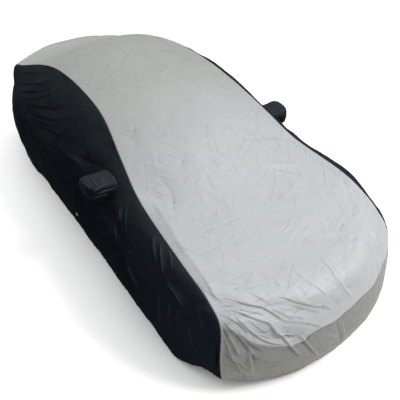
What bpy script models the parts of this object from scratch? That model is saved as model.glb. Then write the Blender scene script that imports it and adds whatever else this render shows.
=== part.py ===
"""A fitted car cover in two colours, in the shape it takes over a low saloon car.

Metres, +Z up, the nose towards -Y, the car's left side at +X. The car is left out, so the cover is a hollow
shell of cloth: a grey centre panel from the front hem over the roof to the rear hem, a black side panel on
each side of it, two sewn pockets for the door mirrors, and an eyelet in a patch above the hem on each side.
"""

import math
from collections import namedtuple

import bmesh
import bpy
import numpy as np
from mathutils import Matrix, Vector
from mathutils.bvhtree import BVHTree

# Driving dimensions. In the tables, "back" is the distance behind the nose and "up" the height above the
# ground that the car stands on. Every one of them is to the inside of the cloth.
MIDDLE_BACK = 2.365
LOWEST_HEM = 0.095
CLOTH = 0.002
GAP = 0.0003

# The ribs of the centre panel, from the front hem over the car to the rear hem. The crown is the rib's
# middle and the seam its end, where the side panel starts. Steps are the rows of mesh up to the next rib.
Rib = namedtuple("Rib", "name crown_back crown_up seam_out seam_back seam_up steps")
RIBS = [
    Rib("front hem", 0.11, 0.120, 0.745, 0.325, 0.200, 6),
    Rib("bumper", 0.03, 0.400, 0.765, 0.315, 0.400, 6),
    Rib("nose", 0.08, 0.560, 0.735, 0.370, 0.730, 4),
    Rib("bonnet lip", 0.16, 0.760, 0.737, 0.480, 0.820, 6),
    Rib("bonnet front", 0.54, 0.840, 0.750, 0.740, 0.915, 7),
    Rib("bonnet rear", 1.10, 0.980, 0.712, 1.395, 1.005, 5),
    Rib("cowl", 1.54, 1.225, 0.670, 1.700, 1.125, 5),
    Rib("windscreen top", 1.98, 1.370, 0.607, 2.100, 1.270, 6),
    Rib("roof front", 2.55, 1.435, 0.592, 2.555, 1.330, 6),
    Rib("roof rear", 3.18, 1.435, 0.597, 3.140, 1.300, 5),
    Rib("rear window", 3.71, 1.235, 0.610, 3.665, 1.165, 4),
    Rib("boot front", 4.15, 1.075, 0.690, 4.100, 1.030, 3),
    Rib("boot middle", 4.43, 1.050, 0.700, 4.295, 0.975, 3),
    Rib("boot edge", 4.59, 1.000, 0.665, 4.415, 0.900, 6),
    Rib("rear bumper", 4.70, 0.620, 0.750, 4.520, 0.620, 6),
    Rib("rear hem", 4.64, 0.200, 0.720, 4.460, 0.200, 0),
]
NOSE = 2
BOOT_EDGE = 13
COLUMNS = 18
CROWN_POWER_BACK = 2.2
CROWN_POWER_UP = 2.6

# The side panel below each rib between its corners: the belt is where it turns down, the hem its end.
# At its two corners the panel ends on the vertical seams, so the bumper and hem ribs close the tables.
Side = namedtuple("Side", "rib belt_out belt_back belt_up hem_out hem_back hem_up")
SIDES = [
    Side("bonnet lip", 0.850, 0.510, 0.525, 0.845, 0.555, 0.170),
    Side("bonnet front", 0.895, 0.795, 0.690, 0.870, 0.800, 0.125),
    Side("bonnet rear", 0.912, 1.350, 0.760, 0.892, 1.350, 0.115),
    Side("cowl", 0.900, 1.770, 0.760, 0.903, 1.750, 0.145),
    Side("windscreen top", 0.920, 2.100, 0.870, 0.907, 2.100, 0.150),
    Side("roof front", 0.937, 2.550, 0.915, 0.915, 2.550, 0.150),
    Side("roof rear", 0.935, 3.150, 0.910, 0.925, 3.150, 0.135),
    Side("rear window", 0.910, 3.640, 0.900, 0.920, 3.655, 0.115),
    Side("boot front", 0.840, 4.050, 0.830, 0.885, 4.120, 0.150),
    Side("boot middle", 0.785, 4.270, 0.790, 0.845, 4.320, 0.175),
]
BELT_ROWS = 6

# Where the elastic hem leaves its smooth line: it hangs out and down over the wheels, and it is drawn up
# behind the front corner. A pull starts part of the way down the panel and is strongest at the hem.
HemPull = namedtuple("HemPull", "name back reach out up")
HEM_PULLS = [
    HemPull("front corner", 0.44, 0.07, 0.000, 0.025),
    HemPull("front wheel", 0.78, 0.20, 0.012, -0.015),
    HemPull("rear wheel", 3.72, 0.34, 0.018, -0.020),
]
HEM_PULL_START = 0.5

# The main folds, as straight soft ridges (depth above zero) and troughs (below) in the cloth, from one
# point to another. The width is that of one flank, and the fold fades out towards its two ends.
Fold = namedtuple("Fold", "panel out0 back0 up0 out1 back1 up1 width depth")
FOLDS = [
    Fold("centre", -0.62, 0.36, 0.80, -0.08, 0.13, 0.70, 0.050, -0.014),
    Fold("centre", -0.64, 0.30, 0.74, -0.18, 0.10, 0.60, 0.050, 0.012),
    Fold("centre", -0.62, 0.26, 0.66, -0.28, 0.10, 0.54, 0.050, -0.012),
    Fold("centre", -0.54, 0.45, 0.84, -0.30, 0.30, 0.82, 0.050, -0.006),
    Fold("centre", -0.68, 0.32, 0.68, -0.56, 0.22, 0.24, 0.045, 0.010),
    Fold("centre", -0.62, 0.27, 0.62, -0.46, 0.15, 0.26, 0.045, -0.008),
    Fold("centre", -0.46, 0.20, 0.66, -0.22, 0.08, 0.28, 0.045, 0.009),
    Fold("centre", -0.32, 0.13, 0.60, -0.10, 0.06, 0.28, 0.045, -0.007),
    Fold("centre", 0.02, 0.07, 0.54, 0.04, 0.04, 0.30, 0.040, 0.006),
    Fold("centre", 0.05, 0.38, 0.83, 0.10, 0.15, 0.72, 0.045, -0.005),
    Fold("centre", -0.16, 0.43, 0.83, -0.04, 0.15, 0.72, 0.045, 0.005),
    Fold("centre", 0.44, 0.46, 0.84, 0.34, 0.20, 0.76, 0.050, 0.006),
    Fold("centre", 0.02, 1.56, 1.22, 0.58, 1.40, 1.05, 0.060, -0.006),
    Fold("centre", 0.24, 1.20, 1.01, 0.60, 1.04, 0.95, 0.060, 0.005),
    Fold("centre", -0.52, 1.92, 1.27, -0.57, 1.60, 1.16, 0.050, -0.006),
    Fold("right", -0.79, 3.42, 1.10, -0.67, 2.95, 1.26, 0.060, 0.008),
    Fold("right", -0.82, 3.62, 1.02, -0.68, 3.22, 1.22, 0.060, -0.008),
    Fold("right", -0.93, 3.30, 0.92, -0.88, 2.92, 1.00, 0.060, -0.006),
    Fold("right", -0.83, 1.42, 0.92, -0.93, 1.40, 0.40, 0.055, 0.009),
    Fold("right", -0.82, 1.30, 0.92, -0.93, 1.24, 0.44, 0.055, -0.008),
    Fold("right", -0.80, 1.00, 0.92, -0.92, 0.86, 0.46, 0.055, 0.008),
    Fold("right", -0.82, 0.74, 0.84, -0.89, 0.66, 0.34, 0.055, -0.007),
    Fold("left", 0.79, 3.36, 1.10, 0.67, 2.98, 1.26, 0.060, 0.008),
    Fold("left", 0.82, 3.68, 1.01, 0.68, 3.20, 1.22, 0.060, -0.007),
    Fold("left", 0.84, 1.50, 0.90, 0.93, 1.44, 0.44, 0.055, 0.008),
    Fold("left", 0.82, 1.22, 0.92, 0.93, 1.20, 0.48, 0.055, -0.008),
    Fold("left", 0.82, 0.82, 0.86, 0.91, 0.74, 0.38, 0.055, 0.007),
]
FOLD_ENDS = 0.1
FLAT_SEAM = 0.07

# The mirror pockets: the middle of each one's mouth, and the rings of its form from the mouth outwards.
# A ring is a soft-cornered oval; the mouth's own points lie on the side panel.
Pocket = namedtuple("Pocket", "side sign back up tuck")
POCKETS = [
    Pocket("right", -1, 1.70, 0.970, 0.01),
    Pocket("left", 1, 1.77, 1.000, 0.04),
]
Ring = namedtuple("Ring", "name out back up half_length half_height")
POCKET_RINGS = [
    Ring("sleeve", 0.885, 0.000, 0.000, 0.125, 0.078),
    Ring("belly", 0.925, 0.010, 0.002, 0.120, 0.076),
    Ring("knuckle", 0.968, 0.030, 0.004, 0.098, 0.063),
    Ring("tip", 0.992, 0.042, 0.004, 0.060, 0.038),
]
POCKET_POINTS = 20
POCKET_POWER = 2.6
POCKET_NOSE = 0.004

# The eyelets, each in the middle of a square patch above the hem, halfway along the car.
EYELET_BACK = 2.17
EYELET_UP = 0.42
PATCH_SIDE = 0.060
BARREL_RADIUS = 0.0070
HOLE_RADIUS = 0.0055
FLANGE_RADIUS = 0.0125
WASHER_RADIUS = 0.0105
FLANGE_THICKNESS = 0.0009
FLANGE_CROWN = 0.0004
FLANGE_EDGE = 0.0003
HOLE_ROUNDING = 0.0006
EYELET_SIDES = 24
MERGE_DISTANCE = 0.00005
CUTTER_DEPTH = 0.030

GREY = (0.47, 0.48, 0.49, 1.0)
BLACK = (0.012, 0.014, 0.020, 1.0)
NICKEL = (0.78, 0.77, 0.74, 1.0)


def clear_scene():
    for obj in list(bpy.data.objects):
        bpy.data.objects.remove(obj, do_unlink=True)


def new_collection(name):
    collection = bpy.data.collections.new(name)
    bpy.context.scene.collection.children.link(collection)
    return collection


def new_material(name, colour, roughness, metallic=0.0):
    material = bpy.data.materials.new(name)
    material.use_nodes = True
    shader = material.node_tree.nodes["Principled BSDF"]
    shader.inputs["Base Color"].default_value = colour
    shader.inputs["Roughness"].default_value = roughness
    shader.inputs["Metallic"].default_value = metallic
    material.diffuse_color = colour
    return material


def placed(points):
    """Points given as out, back and up, moved to the part's own frame."""
    return np.asarray(points, float) - (0.0, MIDDLE_BACK, LOWEST_HEM)


def smooth_track(knots, values, at):
    """A smooth curve through the values: cubic pieces, each knot's slope weighed from its two sides."""
    values = np.asarray(values, float)
    width = np.diff(knots)[:, None]
    slope = np.diff(values, axis=0) / width
    tangent = np.empty_like(values)
    tangent[1:-1] = (width[1:] * slope[:-1] + width[:-1] * slope[1:]) / (width[1:] + width[:-1])
    tangent[0] = 1.5 * slope[0] - 0.5 * tangent[1]
    tangent[-1] = 1.5 * slope[-1] - 0.5 * tangent[-2]
    piece = np.clip(np.searchsorted(knots, at, side="right") - 1, 0, len(knots) - 2)
    t = ((at - knots[piece]) / width[piece, 0])[:, None]
    slopes = tangent[piece] * width[piece], tangent[piece + 1] * width[piece]
    return cubic(t, values[piece], values[piece + 1], *slopes)


def cubic(t, start, end, start_slope, end_slope):
    """The cubic from start to end that leaves and arrives with the given slopes."""
    return (
        (1 + 2 * t) * (1 - t) ** 2 * start
        + t * (1 - t) ** 2 * start_slope
        + t * t * (3 - 2 * t) * end
        + t * t * (t - 1) * end_slope
    )


def unit(vectors):
    return vectors / np.linalg.norm(vectors, axis=-1, keepdims=True)


RIB_VALUES = np.array([rib[1:6] for rib in RIBS])


def rib_stations():
    """How far along the cover each rib lies, as the mean of the ways along its crown and along its seam."""
    crown = np.diff(RIB_VALUES[:, :2], axis=0)
    seam = np.diff(RIB_VALUES[:, 2:], axis=0)
    step = (np.linalg.norm(crown, axis=1) + np.linalg.norm(seam, axis=1)) / 2
    return np.concatenate([[0.0], np.cumsum(step)])


def row_stations(first, last):
    """The stations of the rows of mesh from one rib to another."""
    knots = rib_stations()
    rows = [
        knots[rib] + (knots[rib + 1] - knots[rib]) * step / RIBS[rib].steps
        for rib in range(first, last)
        for step in range(RIBS[rib].steps)
    ]
    return np.array([*rows, knots[last]])


def rib_track(first, last):
    """Crown back and up, and seam out, back and up, at each row from one rib to another."""
    return smooth_track(rib_stations(), RIB_VALUES, row_stations(first, last))


def centre_grid():
    """The centre panel's points, by row from the front hem to the rear one, and from right to left."""
    track = rib_track(0, len(RIBS) - 1)
    across = np.linspace(-1, 1, COLUMNS + 1)
    crown_back, crown_up, seam_out, seam_back, seam_up = track.T[:, :, None]
    out = seam_out * across
    back = crown_back + (seam_back - crown_back) * np.abs(across) ** CROWN_POWER_BACK
    up = crown_up + (seam_up - crown_up) * np.abs(across) ** CROWN_POWER_UP
    return placed(np.stack([out, back, up], axis=-1))


def side_grid(sign):
    """One side panel's points, by column from its front corner to its rear one, and from seam to hem."""
    track = rib_track(NOSE, BOOT_EDGE)
    crown_back, crown_up, seam_out, seam_back, seam_up = track.T
    seam = track[:, 2:]
    fall = [seam_out, CROWN_POWER_BACK * (seam_back - crown_back), CROWN_POWER_UP * (seam_up - crown_up)]
    leaving = unit(np.stack(fall, axis=1))
    knots = rib_stations()[NOSE : BOOT_EDGE + 1]
    rows = row_stations(NOSE, BOOT_EDGE)
    front_bumper, rear_bumper = RIBS[1][3:6], RIBS[-2][3:6]
    front_hem, rear_hem = RIBS[0][3:6], RIBS[-1][3:6]
    belt = smooth_track(knots, [front_bumper, *[side[1:4] for side in SIDES], rear_bumper], rows)
    hem = smooth_track(knots, [front_hem, *[side[4:7] for side in SIDES], rear_hem], rows)
    to_belt = np.linalg.norm(belt - seam, axis=1)[:, None]
    to_hem = np.linalg.norm(hem - belt, axis=1)[:, None]
    over_belt = (to_hem * unit(belt - seam) + to_belt * unit(hem - belt)) / (to_belt + to_hem)
    at_hem = 1.5 * unit(hem - belt) - 0.5 * over_belt
    points = []
    for t in np.linspace(0, 1, BELT_ROWS + 1):
        points.append(cubic(t, seam, belt, leaving * to_belt, over_belt * to_belt))
    for t in np.linspace(0, 1, BELT_ROWS + 1)[1:]:
        points.append(cubic(t, belt, hem, over_belt * to_hem, at_hem * to_hem))
    grid = np.stack(points, axis=1)
    low = np.clip((np.linspace(0, 1, grid.shape[1]) - HEM_PULL_START) / (1 - HEM_PULL_START), 0, 1) ** 2
    for pull in HEM_PULLS:
        near = np.exp(-(((hem[:, 1] - pull.back) / pull.reach) ** 4))
        grid += (near[:, None] * low)[..., None] * (pull.out, 0, pull.up)
    grid[0] = rib_track(0, NOSE)[::-1, 2:]
    grid[-1] = rib_track(BOOT_EDGE, len(RIBS) - 1)[:, 2:]
    return placed(grid) * (sign, 1, 1)


def outward(grid, turn):
    """The unit normals of a grid of points."""
    return unit(np.cross(np.gradient(grid, axis=0), np.gradient(grid, axis=1))) * turn


def seam_points(sign):
    return placed(rib_track(0, len(RIBS) - 1)[:, 2:]) * (sign, 1, 1)


def fold_cloth(grid, normals, panel, seams):
    """Presses the panel's folds into its grid, and leaves the cloth flat where it is sewn."""
    to_seam = np.linalg.norm(grid[:, :, None] - seams[None, None], axis=-1).min(axis=-1)
    free = np.clip(to_seam / FLAT_SEAM, 0, 1)
    free = free * free * (3 - 2 * free)
    height = np.zeros(grid.shape[:2])
    for fold in FOLDS:
        if fold.panel != panel:
            continue
        start, end = placed([fold[1:4], fold[4:7]])
        run = end - start
        t = np.clip((grid - start) @ run / (run @ run), 0, 1)
        off = np.linalg.norm(grid - (start + t[..., None] * run), axis=-1)
        along = np.sin(math.pi * (FOLD_ENDS + (1 - 2 * FOLD_ENDS) * t))
        height += fold.depth * np.exp(-((off / fold.width) ** 2)) * along
    return grid + normals * (height * free)[..., None]


def part_edges(grid, rows, columns):
    """Draws the sewn edges of a grid back by half of the gap between two panels."""
    parted = grid.copy()
    half = GAP / 2
    for is_sewn, edge, inner in ((rows, 0, 1), (rows, -1, -2)):
        if is_sewn[edge]:
            parted[edge] += unit(grid[inner] - grid[edge]) * half
    for is_sewn, edge, inner in ((columns, 0, 1), (columns, -1, -2)):
        if is_sewn[edge]:
            parted[:, edge] += unit(grid[:, inner] - grid[:, edge]) * half
    return parted


def grid_faces(rows, columns, flip):
    faces = []
    for i in range(rows - 1):
        for j in range(columns - 1):
            corner = i * columns + j
            face = (corner, corner + 1, corner + columns + 1, corner + columns)
            faces.append(face[::-1] if flip else face)
    return faces


def new_object(name, mesh, collection, material, parent):
    obj = bpy.data.objects.new(name, mesh)
    collection.objects.link(obj)
    obj.parent = parent
    obj.data.materials.append(material)
    return obj


def mesh_of(name, points, faces):
    mesh = bpy.data.meshes.new(name)
    mesh.from_pydata([tuple(point) for point in points], [], faces)
    mesh.update()
    mesh.shade_smooth()
    return mesh


def thicken(obj, offset):
    modifier = obj.modifiers.new("cloth", "SOLIDIFY")
    modifier.thickness = CLOTH
    modifier.offset = offset
    modifier.use_even_offset = True
    return modifier


def cut(obj, cutter):
    modifier = obj.modifiers.new("cut " + cutter.name, "BOOLEAN")
    modifier.operation = "DIFFERENCE"
    modifier.object = cutter


def as_cutter(obj):
    obj.hide_render = True
    obj.display_type = "WIRE"
    return obj


def make_panel(name, grid, flip, collection, material, parent):
    """A panel of cloth: its grid is the inside of the sheet, and the thickness goes outwards."""
    rows, columns = grid.shape[:2]
    mesh = mesh_of(name, grid.reshape(-1, 3), grid_faces(rows, columns, flip))
    obj = new_object(name, mesh, collection, material, parent)
    thicken(obj, 1.0)
    return obj


def oval(half_length, half_height):
    """A soft-cornered oval, as pairs of a way back and a way up from its middle."""
    angle = np.arange(POCKET_POINTS) * 2 * math.pi / POCKET_POINTS
    c, s = np.cos(angle), np.sin(angle)
    power = 2 / POCKET_POWER
    back = half_length * np.sign(c) * np.abs(c) ** power
    up = half_height * np.sign(s) * np.abs(s) ** power
    return np.stack([back, up], axis=1)


def ring_points(middle, out, half_length, half_height):
    """An oval that stands across the car at the given distance out, which may differ from point to point."""
    flat = oval(half_length, half_height) + (middle.y, middle.z)
    return np.column_stack([np.broadcast_to(out, POCKET_POINTS), flat])


def loft(name, rings, nose=None, closed=False):
    """Faces from ring to ring, to a nose point at the last ring, or with both ends filled."""
    count = len(rings[0])
    points = np.concatenate(rings)
    faces = []
    for ring in range(len(rings) - 1):
        for k in range(count):
            after = (k + 1) % count
            low, high = ring * count, (ring + 1) * count
            faces.append((low + k, low + after, high + after, high + k))
    last = (len(rings) - 1) * count
    if nose is not None:
        points = np.vstack([points, nose])
        tip = len(points) - 1
        faces += [(last + k, last + (k + 1) % count, tip) for k in range(count)]
    if closed:
        faces += [tuple(range(count))[::-1], tuple(range(last, last + count))]
    mesh = mesh_of(name, points, faces)
    shape = bmesh.new()
    shape.from_mesh(mesh)
    if closed:
        bmesh.ops.recalc_face_normals(shape, faces=shape.faces)
    shape.to_mesh(mesh)
    shape.free()
    return mesh


def inside_of(grid, flip):
    """A tree for finding points on the inside of a panel."""
    rows, columns = grid.shape[:2]
    return BVHTree.FromPolygons([tuple(p) for p in grid.reshape(-1, 3)], grid_faces(rows, columns, flip))


def on_panel(tree, sign, y, z):
    """The point of the panel beside a point on the car's middle plane, and the panel's normal there."""
    point, normal, _, _ = tree.ray_cast(Vector((0, y, z)), Vector((sign, 0, 0)))
    return point, normal if normal.x * sign > 0 else -normal


def make_pocket(pocket, tree, panel, parts, cutters, material, parent):
    """A bag that stands in a hole of the side panel, open towards the car and closed at its tip."""
    sign = pocket.sign
    middle = Vector(placed((0, pocket.back, pocket.up)))
    sleeve = POCKET_RINGS[0]
    mouth = ring_points(middle, 0.0, sleeve.half_length, sleeve.half_height)
    mouth[:, 0] = [on_panel(tree, sign, y, z)[0].x for _, y, z in mouth]
    rings = [mouth]
    for ring in POCKET_RINGS:
        centre = middle + Vector((0, ring.back, ring.up))
        rings.append(ring_points(centre, sign * (ring.out - pocket.tuck), ring.half_length, ring.half_height))
    tip = POCKET_RINGS[-1]
    nose = (sign * (tip.out - pocket.tuck + POCKET_NOSE), middle.y + tip.back, middle.z + tip.up)
    if sign < 0:
        rings = [ring[::-1] for ring in rings]
    root = Vector((float(np.mean(mouth[:, 0])), middle.y, middle.z))
    name = "mirror_pocket_" + pocket.side
    mesh = loft(name, [ring - root for ring in rings], nose=np.array(nose) - root)
    obj = new_object(name, mesh, parts, material, parent)
    obj.location = root
    thicken(obj, -1.0)

    hole = [
        ring_points(middle, sign * out, sleeve.half_length + GAP, sleeve.half_height + GAP)
        for out in (abs(mouth[:, 0]).min() - CUTTER_DEPTH, abs(mouth[:, 0]).max() + CUTTER_DEPTH)
    ]
    cutter = new_object(name + "_hole", loft(name + "_hole", hole, closed=True), cutters, material, parent)
    cut(panel, as_cutter(cutter))
    return obj


def box(name, size):
    """A box mesh centred on its origin."""
    mesh = bpy.data.meshes.new(name)
    shape = bmesh.new()
    bmesh.ops.create_cube(shape, size=1.0, matrix=Matrix.Diagonal((*size, 1.0)))
    shape.to_mesh(mesh)
    shape.free()
    return mesh


def rod(name, radius, length):
    """A closed cylinder along Z, centred on its origin."""
    mesh = bpy.data.meshes.new(name)
    shape = bmesh.new()
    sizes = {"radius1": radius, "radius2": radius, "depth": length}
    bmesh.ops.create_cone(shape, cap_ends=True, segments=EYELET_SIDES, **sizes)
    shape.to_mesh(mesh)
    shape.free()
    return mesh


def eyelet_profile():
    """Half of the eyelet's section, as radius and height above the middle of the cloth, outer side first."""
    seat = CLOTH / 2 + GAP
    top = seat + FLANGE_THICKNESS
    lip = (HOLE_RADIUS + FLANGE_RADIUS) / 2
    return [
        (HOLE_RADIUS, seat),
        (HOLE_RADIUS + HOLE_ROUNDING, top),
        (lip, top + FLANGE_CROWN),
        (FLANGE_RADIUS, seat + FLANGE_EDGE),
        (FLANGE_RADIUS - FLANGE_EDGE, seat),
        (BARREL_RADIUS, seat),
        (BARREL_RADIUS, -seat),
        (WASHER_RADIUS, -seat),
        (WASHER_RADIUS, -top),
        (HOLE_RADIUS, -top),
    ]


def make_eyelet(name, frame, parts, material, parent):
    """A pressed ring, turned about its own Z, with a flange outside the cloth and a washer inside it."""
    profile = eyelet_profile()
    edges = [(k, (k + 1) % len(profile)) for k in range(len(profile))]
    mesh = bpy.data.meshes.new(name)
    mesh.from_pydata([(radius, 0.0, height) for radius, height in profile], edges, [])
    obj = new_object(name, mesh, parts, material, parent)
    obj.matrix_world = frame
    turn = obj.modifiers.new("turn", "SCREW")
    turn.angle = 2 * math.pi
    turn.screw_offset = 0.0
    turn.axis = "Z"
    turn.steps = EYELET_SIDES
    turn.render_steps = EYELET_SIDES
    turn.use_merge_vertices = True
    turn.merge_threshold = MERGE_DISTANCE
    turn.use_smooth_shade = True
    return obj


def make_patch(side, sign, tree, panel, parts, cutters, cloth, metal, parent):
    """A square of cloth sewn into the side panel, with a pressed eyelet in its middle."""
    spot = placed((0, EYELET_BACK, EYELET_UP))
    point, normal = on_panel(tree, sign, spot[1], spot[2])
    along = Vector((0, sign, 0)).cross(normal).cross(normal).normalized() * -sign
    frame = Matrix.Identity(4)
    upward = normal.cross(along)
    for column, axis in enumerate((along, upward, normal)):
        for row in range(3):
            frame[row][column] = axis[row]
    frame.translation = point + normal * (CLOTH / 2)

    name = "eyelet_patch_" + side
    patch = new_object(name, box(name, (PATCH_SIDE, PATCH_SIDE, CLOTH)), parts, cloth, parent)
    patch.matrix_world = frame
    drill = rod(name + "_hole", BARREL_RADIUS + GAP, CUTTER_DEPTH)
    hole = new_object(name + "_hole", drill, cutters, cloth, parent)
    hole.matrix_world = frame
    cut(patch, as_cutter(hole))

    opening = PATCH_SIDE + 2 * GAP
    punch = box(name + "_window", (opening, opening, CUTTER_DEPTH))
    window = new_object(name + "_window", punch, cutters, cloth, parent)
    window.matrix_world = frame
    cut(panel, as_cutter(window))
    make_eyelet("eyelet_" + side, frame, parts, metal, parent)


def main():
    clear_scene()
    parts = new_collection("car_cover")
    cutters = new_collection("cutters")
    grey = new_material("grey cloth", GREY, 0.55)
    black = new_material("black cloth", BLACK, 0.60)
    nickel = new_material("nickel", NICKEL, 0.30, metallic=1.0)
    cover = bpy.data.objects.new("car_cover", None)
    parts.objects.link(cover)

    seams = {sign: seam_points(sign) for sign in (-1, 1)}
    both_seams = np.concatenate([seams[-1], seams[1]])
    centre = centre_grid()
    centre = fold_cloth(centre, outward(centre, -1), "centre", both_seams)
    centre = part_edges(centre, rows=(False, False), columns=(True, True))
    make_panel("centre_panel", centre, False, parts, grey, cover)

    for pocket in POCKETS:
        sign, side = pocket.sign, pocket.side
        grid = side_grid(sign)
        grid = fold_cloth(grid, outward(grid, -sign), side, seams[sign])
        grid = part_edges(grid, rows=(True, True), columns=(True, False))
        panel = make_panel("side_panel_" + side, grid, sign < 0, parts, black, cover)
        tree = inside_of(grid, sign < 0)
        make_pocket(pocket, tree, panel, parts, cutters, black, cover)
        make_patch(side, sign, tree, panel, parts, cutters, black, nickel, cover)


main()
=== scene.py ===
# %% [markdown]
# # Dressing a fitted car cover
#
# A fitted cover is sewn from a few large panels. A silver centre panel runs from the front hem over the
# bonnet, the windscreen and the roof to the rear hem, and a black side panel hangs on each side of it. The
# car inside gives the cover its shape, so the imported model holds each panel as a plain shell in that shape.
# This script loads those shells as a fixed frame and makes the cloth that stands for them: thin sheets with
# real creases, turned hems, sewn seams, mirror pockets and eyelets.

# %% Load the frame and keep its box
import math
from collections import namedtuple

import bmesh
import bpy
import numpy as np
from mathutils import Matrix, Vector
from mathutils.bvhtree import BVHTree


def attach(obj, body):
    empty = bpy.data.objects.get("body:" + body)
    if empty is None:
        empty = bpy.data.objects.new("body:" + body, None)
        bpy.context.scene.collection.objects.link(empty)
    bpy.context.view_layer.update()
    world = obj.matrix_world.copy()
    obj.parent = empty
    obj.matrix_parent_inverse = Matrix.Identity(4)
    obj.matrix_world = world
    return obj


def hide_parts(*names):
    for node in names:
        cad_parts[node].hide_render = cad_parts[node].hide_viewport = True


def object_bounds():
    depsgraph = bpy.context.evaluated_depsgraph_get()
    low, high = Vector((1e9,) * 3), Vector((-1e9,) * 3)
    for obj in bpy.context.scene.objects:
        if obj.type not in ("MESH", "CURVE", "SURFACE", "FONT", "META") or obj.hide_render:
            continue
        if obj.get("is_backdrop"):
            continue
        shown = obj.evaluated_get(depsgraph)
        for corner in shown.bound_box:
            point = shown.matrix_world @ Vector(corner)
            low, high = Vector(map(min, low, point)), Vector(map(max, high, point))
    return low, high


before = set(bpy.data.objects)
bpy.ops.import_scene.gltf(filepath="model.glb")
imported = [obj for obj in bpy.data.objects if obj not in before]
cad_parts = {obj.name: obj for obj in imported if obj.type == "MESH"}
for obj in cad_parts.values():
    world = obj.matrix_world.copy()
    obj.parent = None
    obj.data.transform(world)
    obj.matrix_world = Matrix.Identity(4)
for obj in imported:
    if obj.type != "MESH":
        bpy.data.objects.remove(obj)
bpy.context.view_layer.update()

# %% [markdown]
# ## The camera
#
# The photograph looks down on the cover from in front of its right-hand corner, as a tall person with a
# lens of normal length sees it. The place, the aim and a slight roll were found by laying the outline over
# the photograph. A camera looks along its own -Z, so its matrix holds the way right, the way up and the way
# back.

# %% Place the camera
PHOTO_SIDE = 400
FOCAL_PIXELS = 474.6
SENSOR_WIDTH = 36.0
CAMERA_PLACE = Vector((-1.740, -3.395, 2.950))
CAMERA_AIM = Vector((0.050, -0.585, 0.277))
CAMERA_ROLL = -0.024


def camera_axes():
    """The camera's ways right, up and forward."""
    forward = (CAMERA_AIM - CAMERA_PLACE).normalized()
    level = forward.cross(Vector((0, 0, 1))).normalized()
    upright = level.cross(forward)
    c, s = math.cos(CAMERA_ROLL), math.sin(CAMERA_ROLL)
    return c * level + s * upright, c * upright - s * level, forward


RIGHT, UP, FORWARD = camera_axes()
lens = bpy.data.cameras.new("camera")
lens.sensor_width = SENSOR_WIDTH
lens.lens = FOCAL_PIXELS / PHOTO_SIDE * SENSOR_WIDTH
lens.clip_end = 200.0
camera = bpy.data.objects.new("camera", lens)
turn = Matrix((RIGHT, UP, -FORWARD)).transposed().to_4x4()
camera.matrix_world = Matrix.Translation(CAMERA_PLACE) @ turn
bpy.context.scene.collection.objects.link(camera)
bpy.context.scene.camera = camera
print("lens", round(lens.lens, 1), "mm")


def sight_line(pixel):
    """The way from the camera through a pixel of the photograph."""
    x = (pixel[0] - PHOTO_SIDE / 2) / FOCAL_PIXELS
    y = (PHOTO_SIDE / 2 - pixel[1]) / FOCAL_PIXELS
    return (FORWARD + x * RIGHT + y * UP).normalized()


# %% [markdown]
# ## The shape under the cloth
#
# A cover's pattern is a set of cross-sections. Each rib below runs from the crown, on the middle line, to
# the seam, and each side row goes on from the seam over the belt, where the side turns down, to the hem.
# They are the measures that the solids were built from, so the fine cloth made here lies on them. "Back" is
# the distance behind the nose and "up" the height above the ground under the car. The cell is the mesh size
# wanted there: small at the front, where the cloth is creased and near the eye, and larger on the smooth
# roof.

# %% The measures of the panels
MIDDLE_BACK = 2.365
LOWEST_HEM = 0.095
CLOTH = 0.002

Rib = namedtuple("Rib", "name crown_back crown_up seam_out seam_back seam_up cell")
RIBS = [
    Rib("front hem", 0.11, 0.120, 0.745, 0.325, 0.200, 0.0052),
    Rib("bumper", 0.03, 0.400, 0.765, 0.315, 0.400, 0.0050),
    Rib("nose", 0.08, 0.560, 0.735, 0.370, 0.730, 0.0048),
    Rib("bonnet lip", 0.16, 0.760, 0.737, 0.480, 0.820, 0.0050),
    Rib("bonnet front", 0.54, 0.840, 0.750, 0.740, 0.915, 0.0082),
    Rib("bonnet rear", 1.10, 0.980, 0.712, 1.395, 1.005, 0.0105),
    Rib("cowl", 1.54, 1.225, 0.670, 1.700, 1.125, 0.0115),
    Rib("windscreen top", 1.98, 1.370, 0.607, 2.100, 1.270, 0.0150),
    Rib("roof front", 2.55, 1.435, 0.592, 2.555, 1.330, 0.0220),
    Rib("roof rear", 3.18, 1.435, 0.597, 3.140, 1.300, 0.0230),
    Rib("rear window", 3.71, 1.235, 0.610, 3.665, 1.165, 0.0210),
    Rib("boot front", 4.15, 1.075, 0.690, 4.100, 1.030, 0.0165),
    Rib("boot middle", 4.43, 1.050, 0.700, 4.295, 0.975, 0.0120),
    Rib("boot edge", 4.59, 1.000, 0.665, 4.415, 0.900, 0.0110),
    Rib("rear bumper", 4.70, 0.620, 0.750, 4.520, 0.620, 0.0165),
    Rib("rear hem", 4.64, 0.200, 0.720, 4.460, 0.200, 0.0130),
]
NOSE = 2
BOOT_EDGE = 13
CROWN_POWER_BACK = 2.2
CROWN_POWER_UP = 2.6

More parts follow.
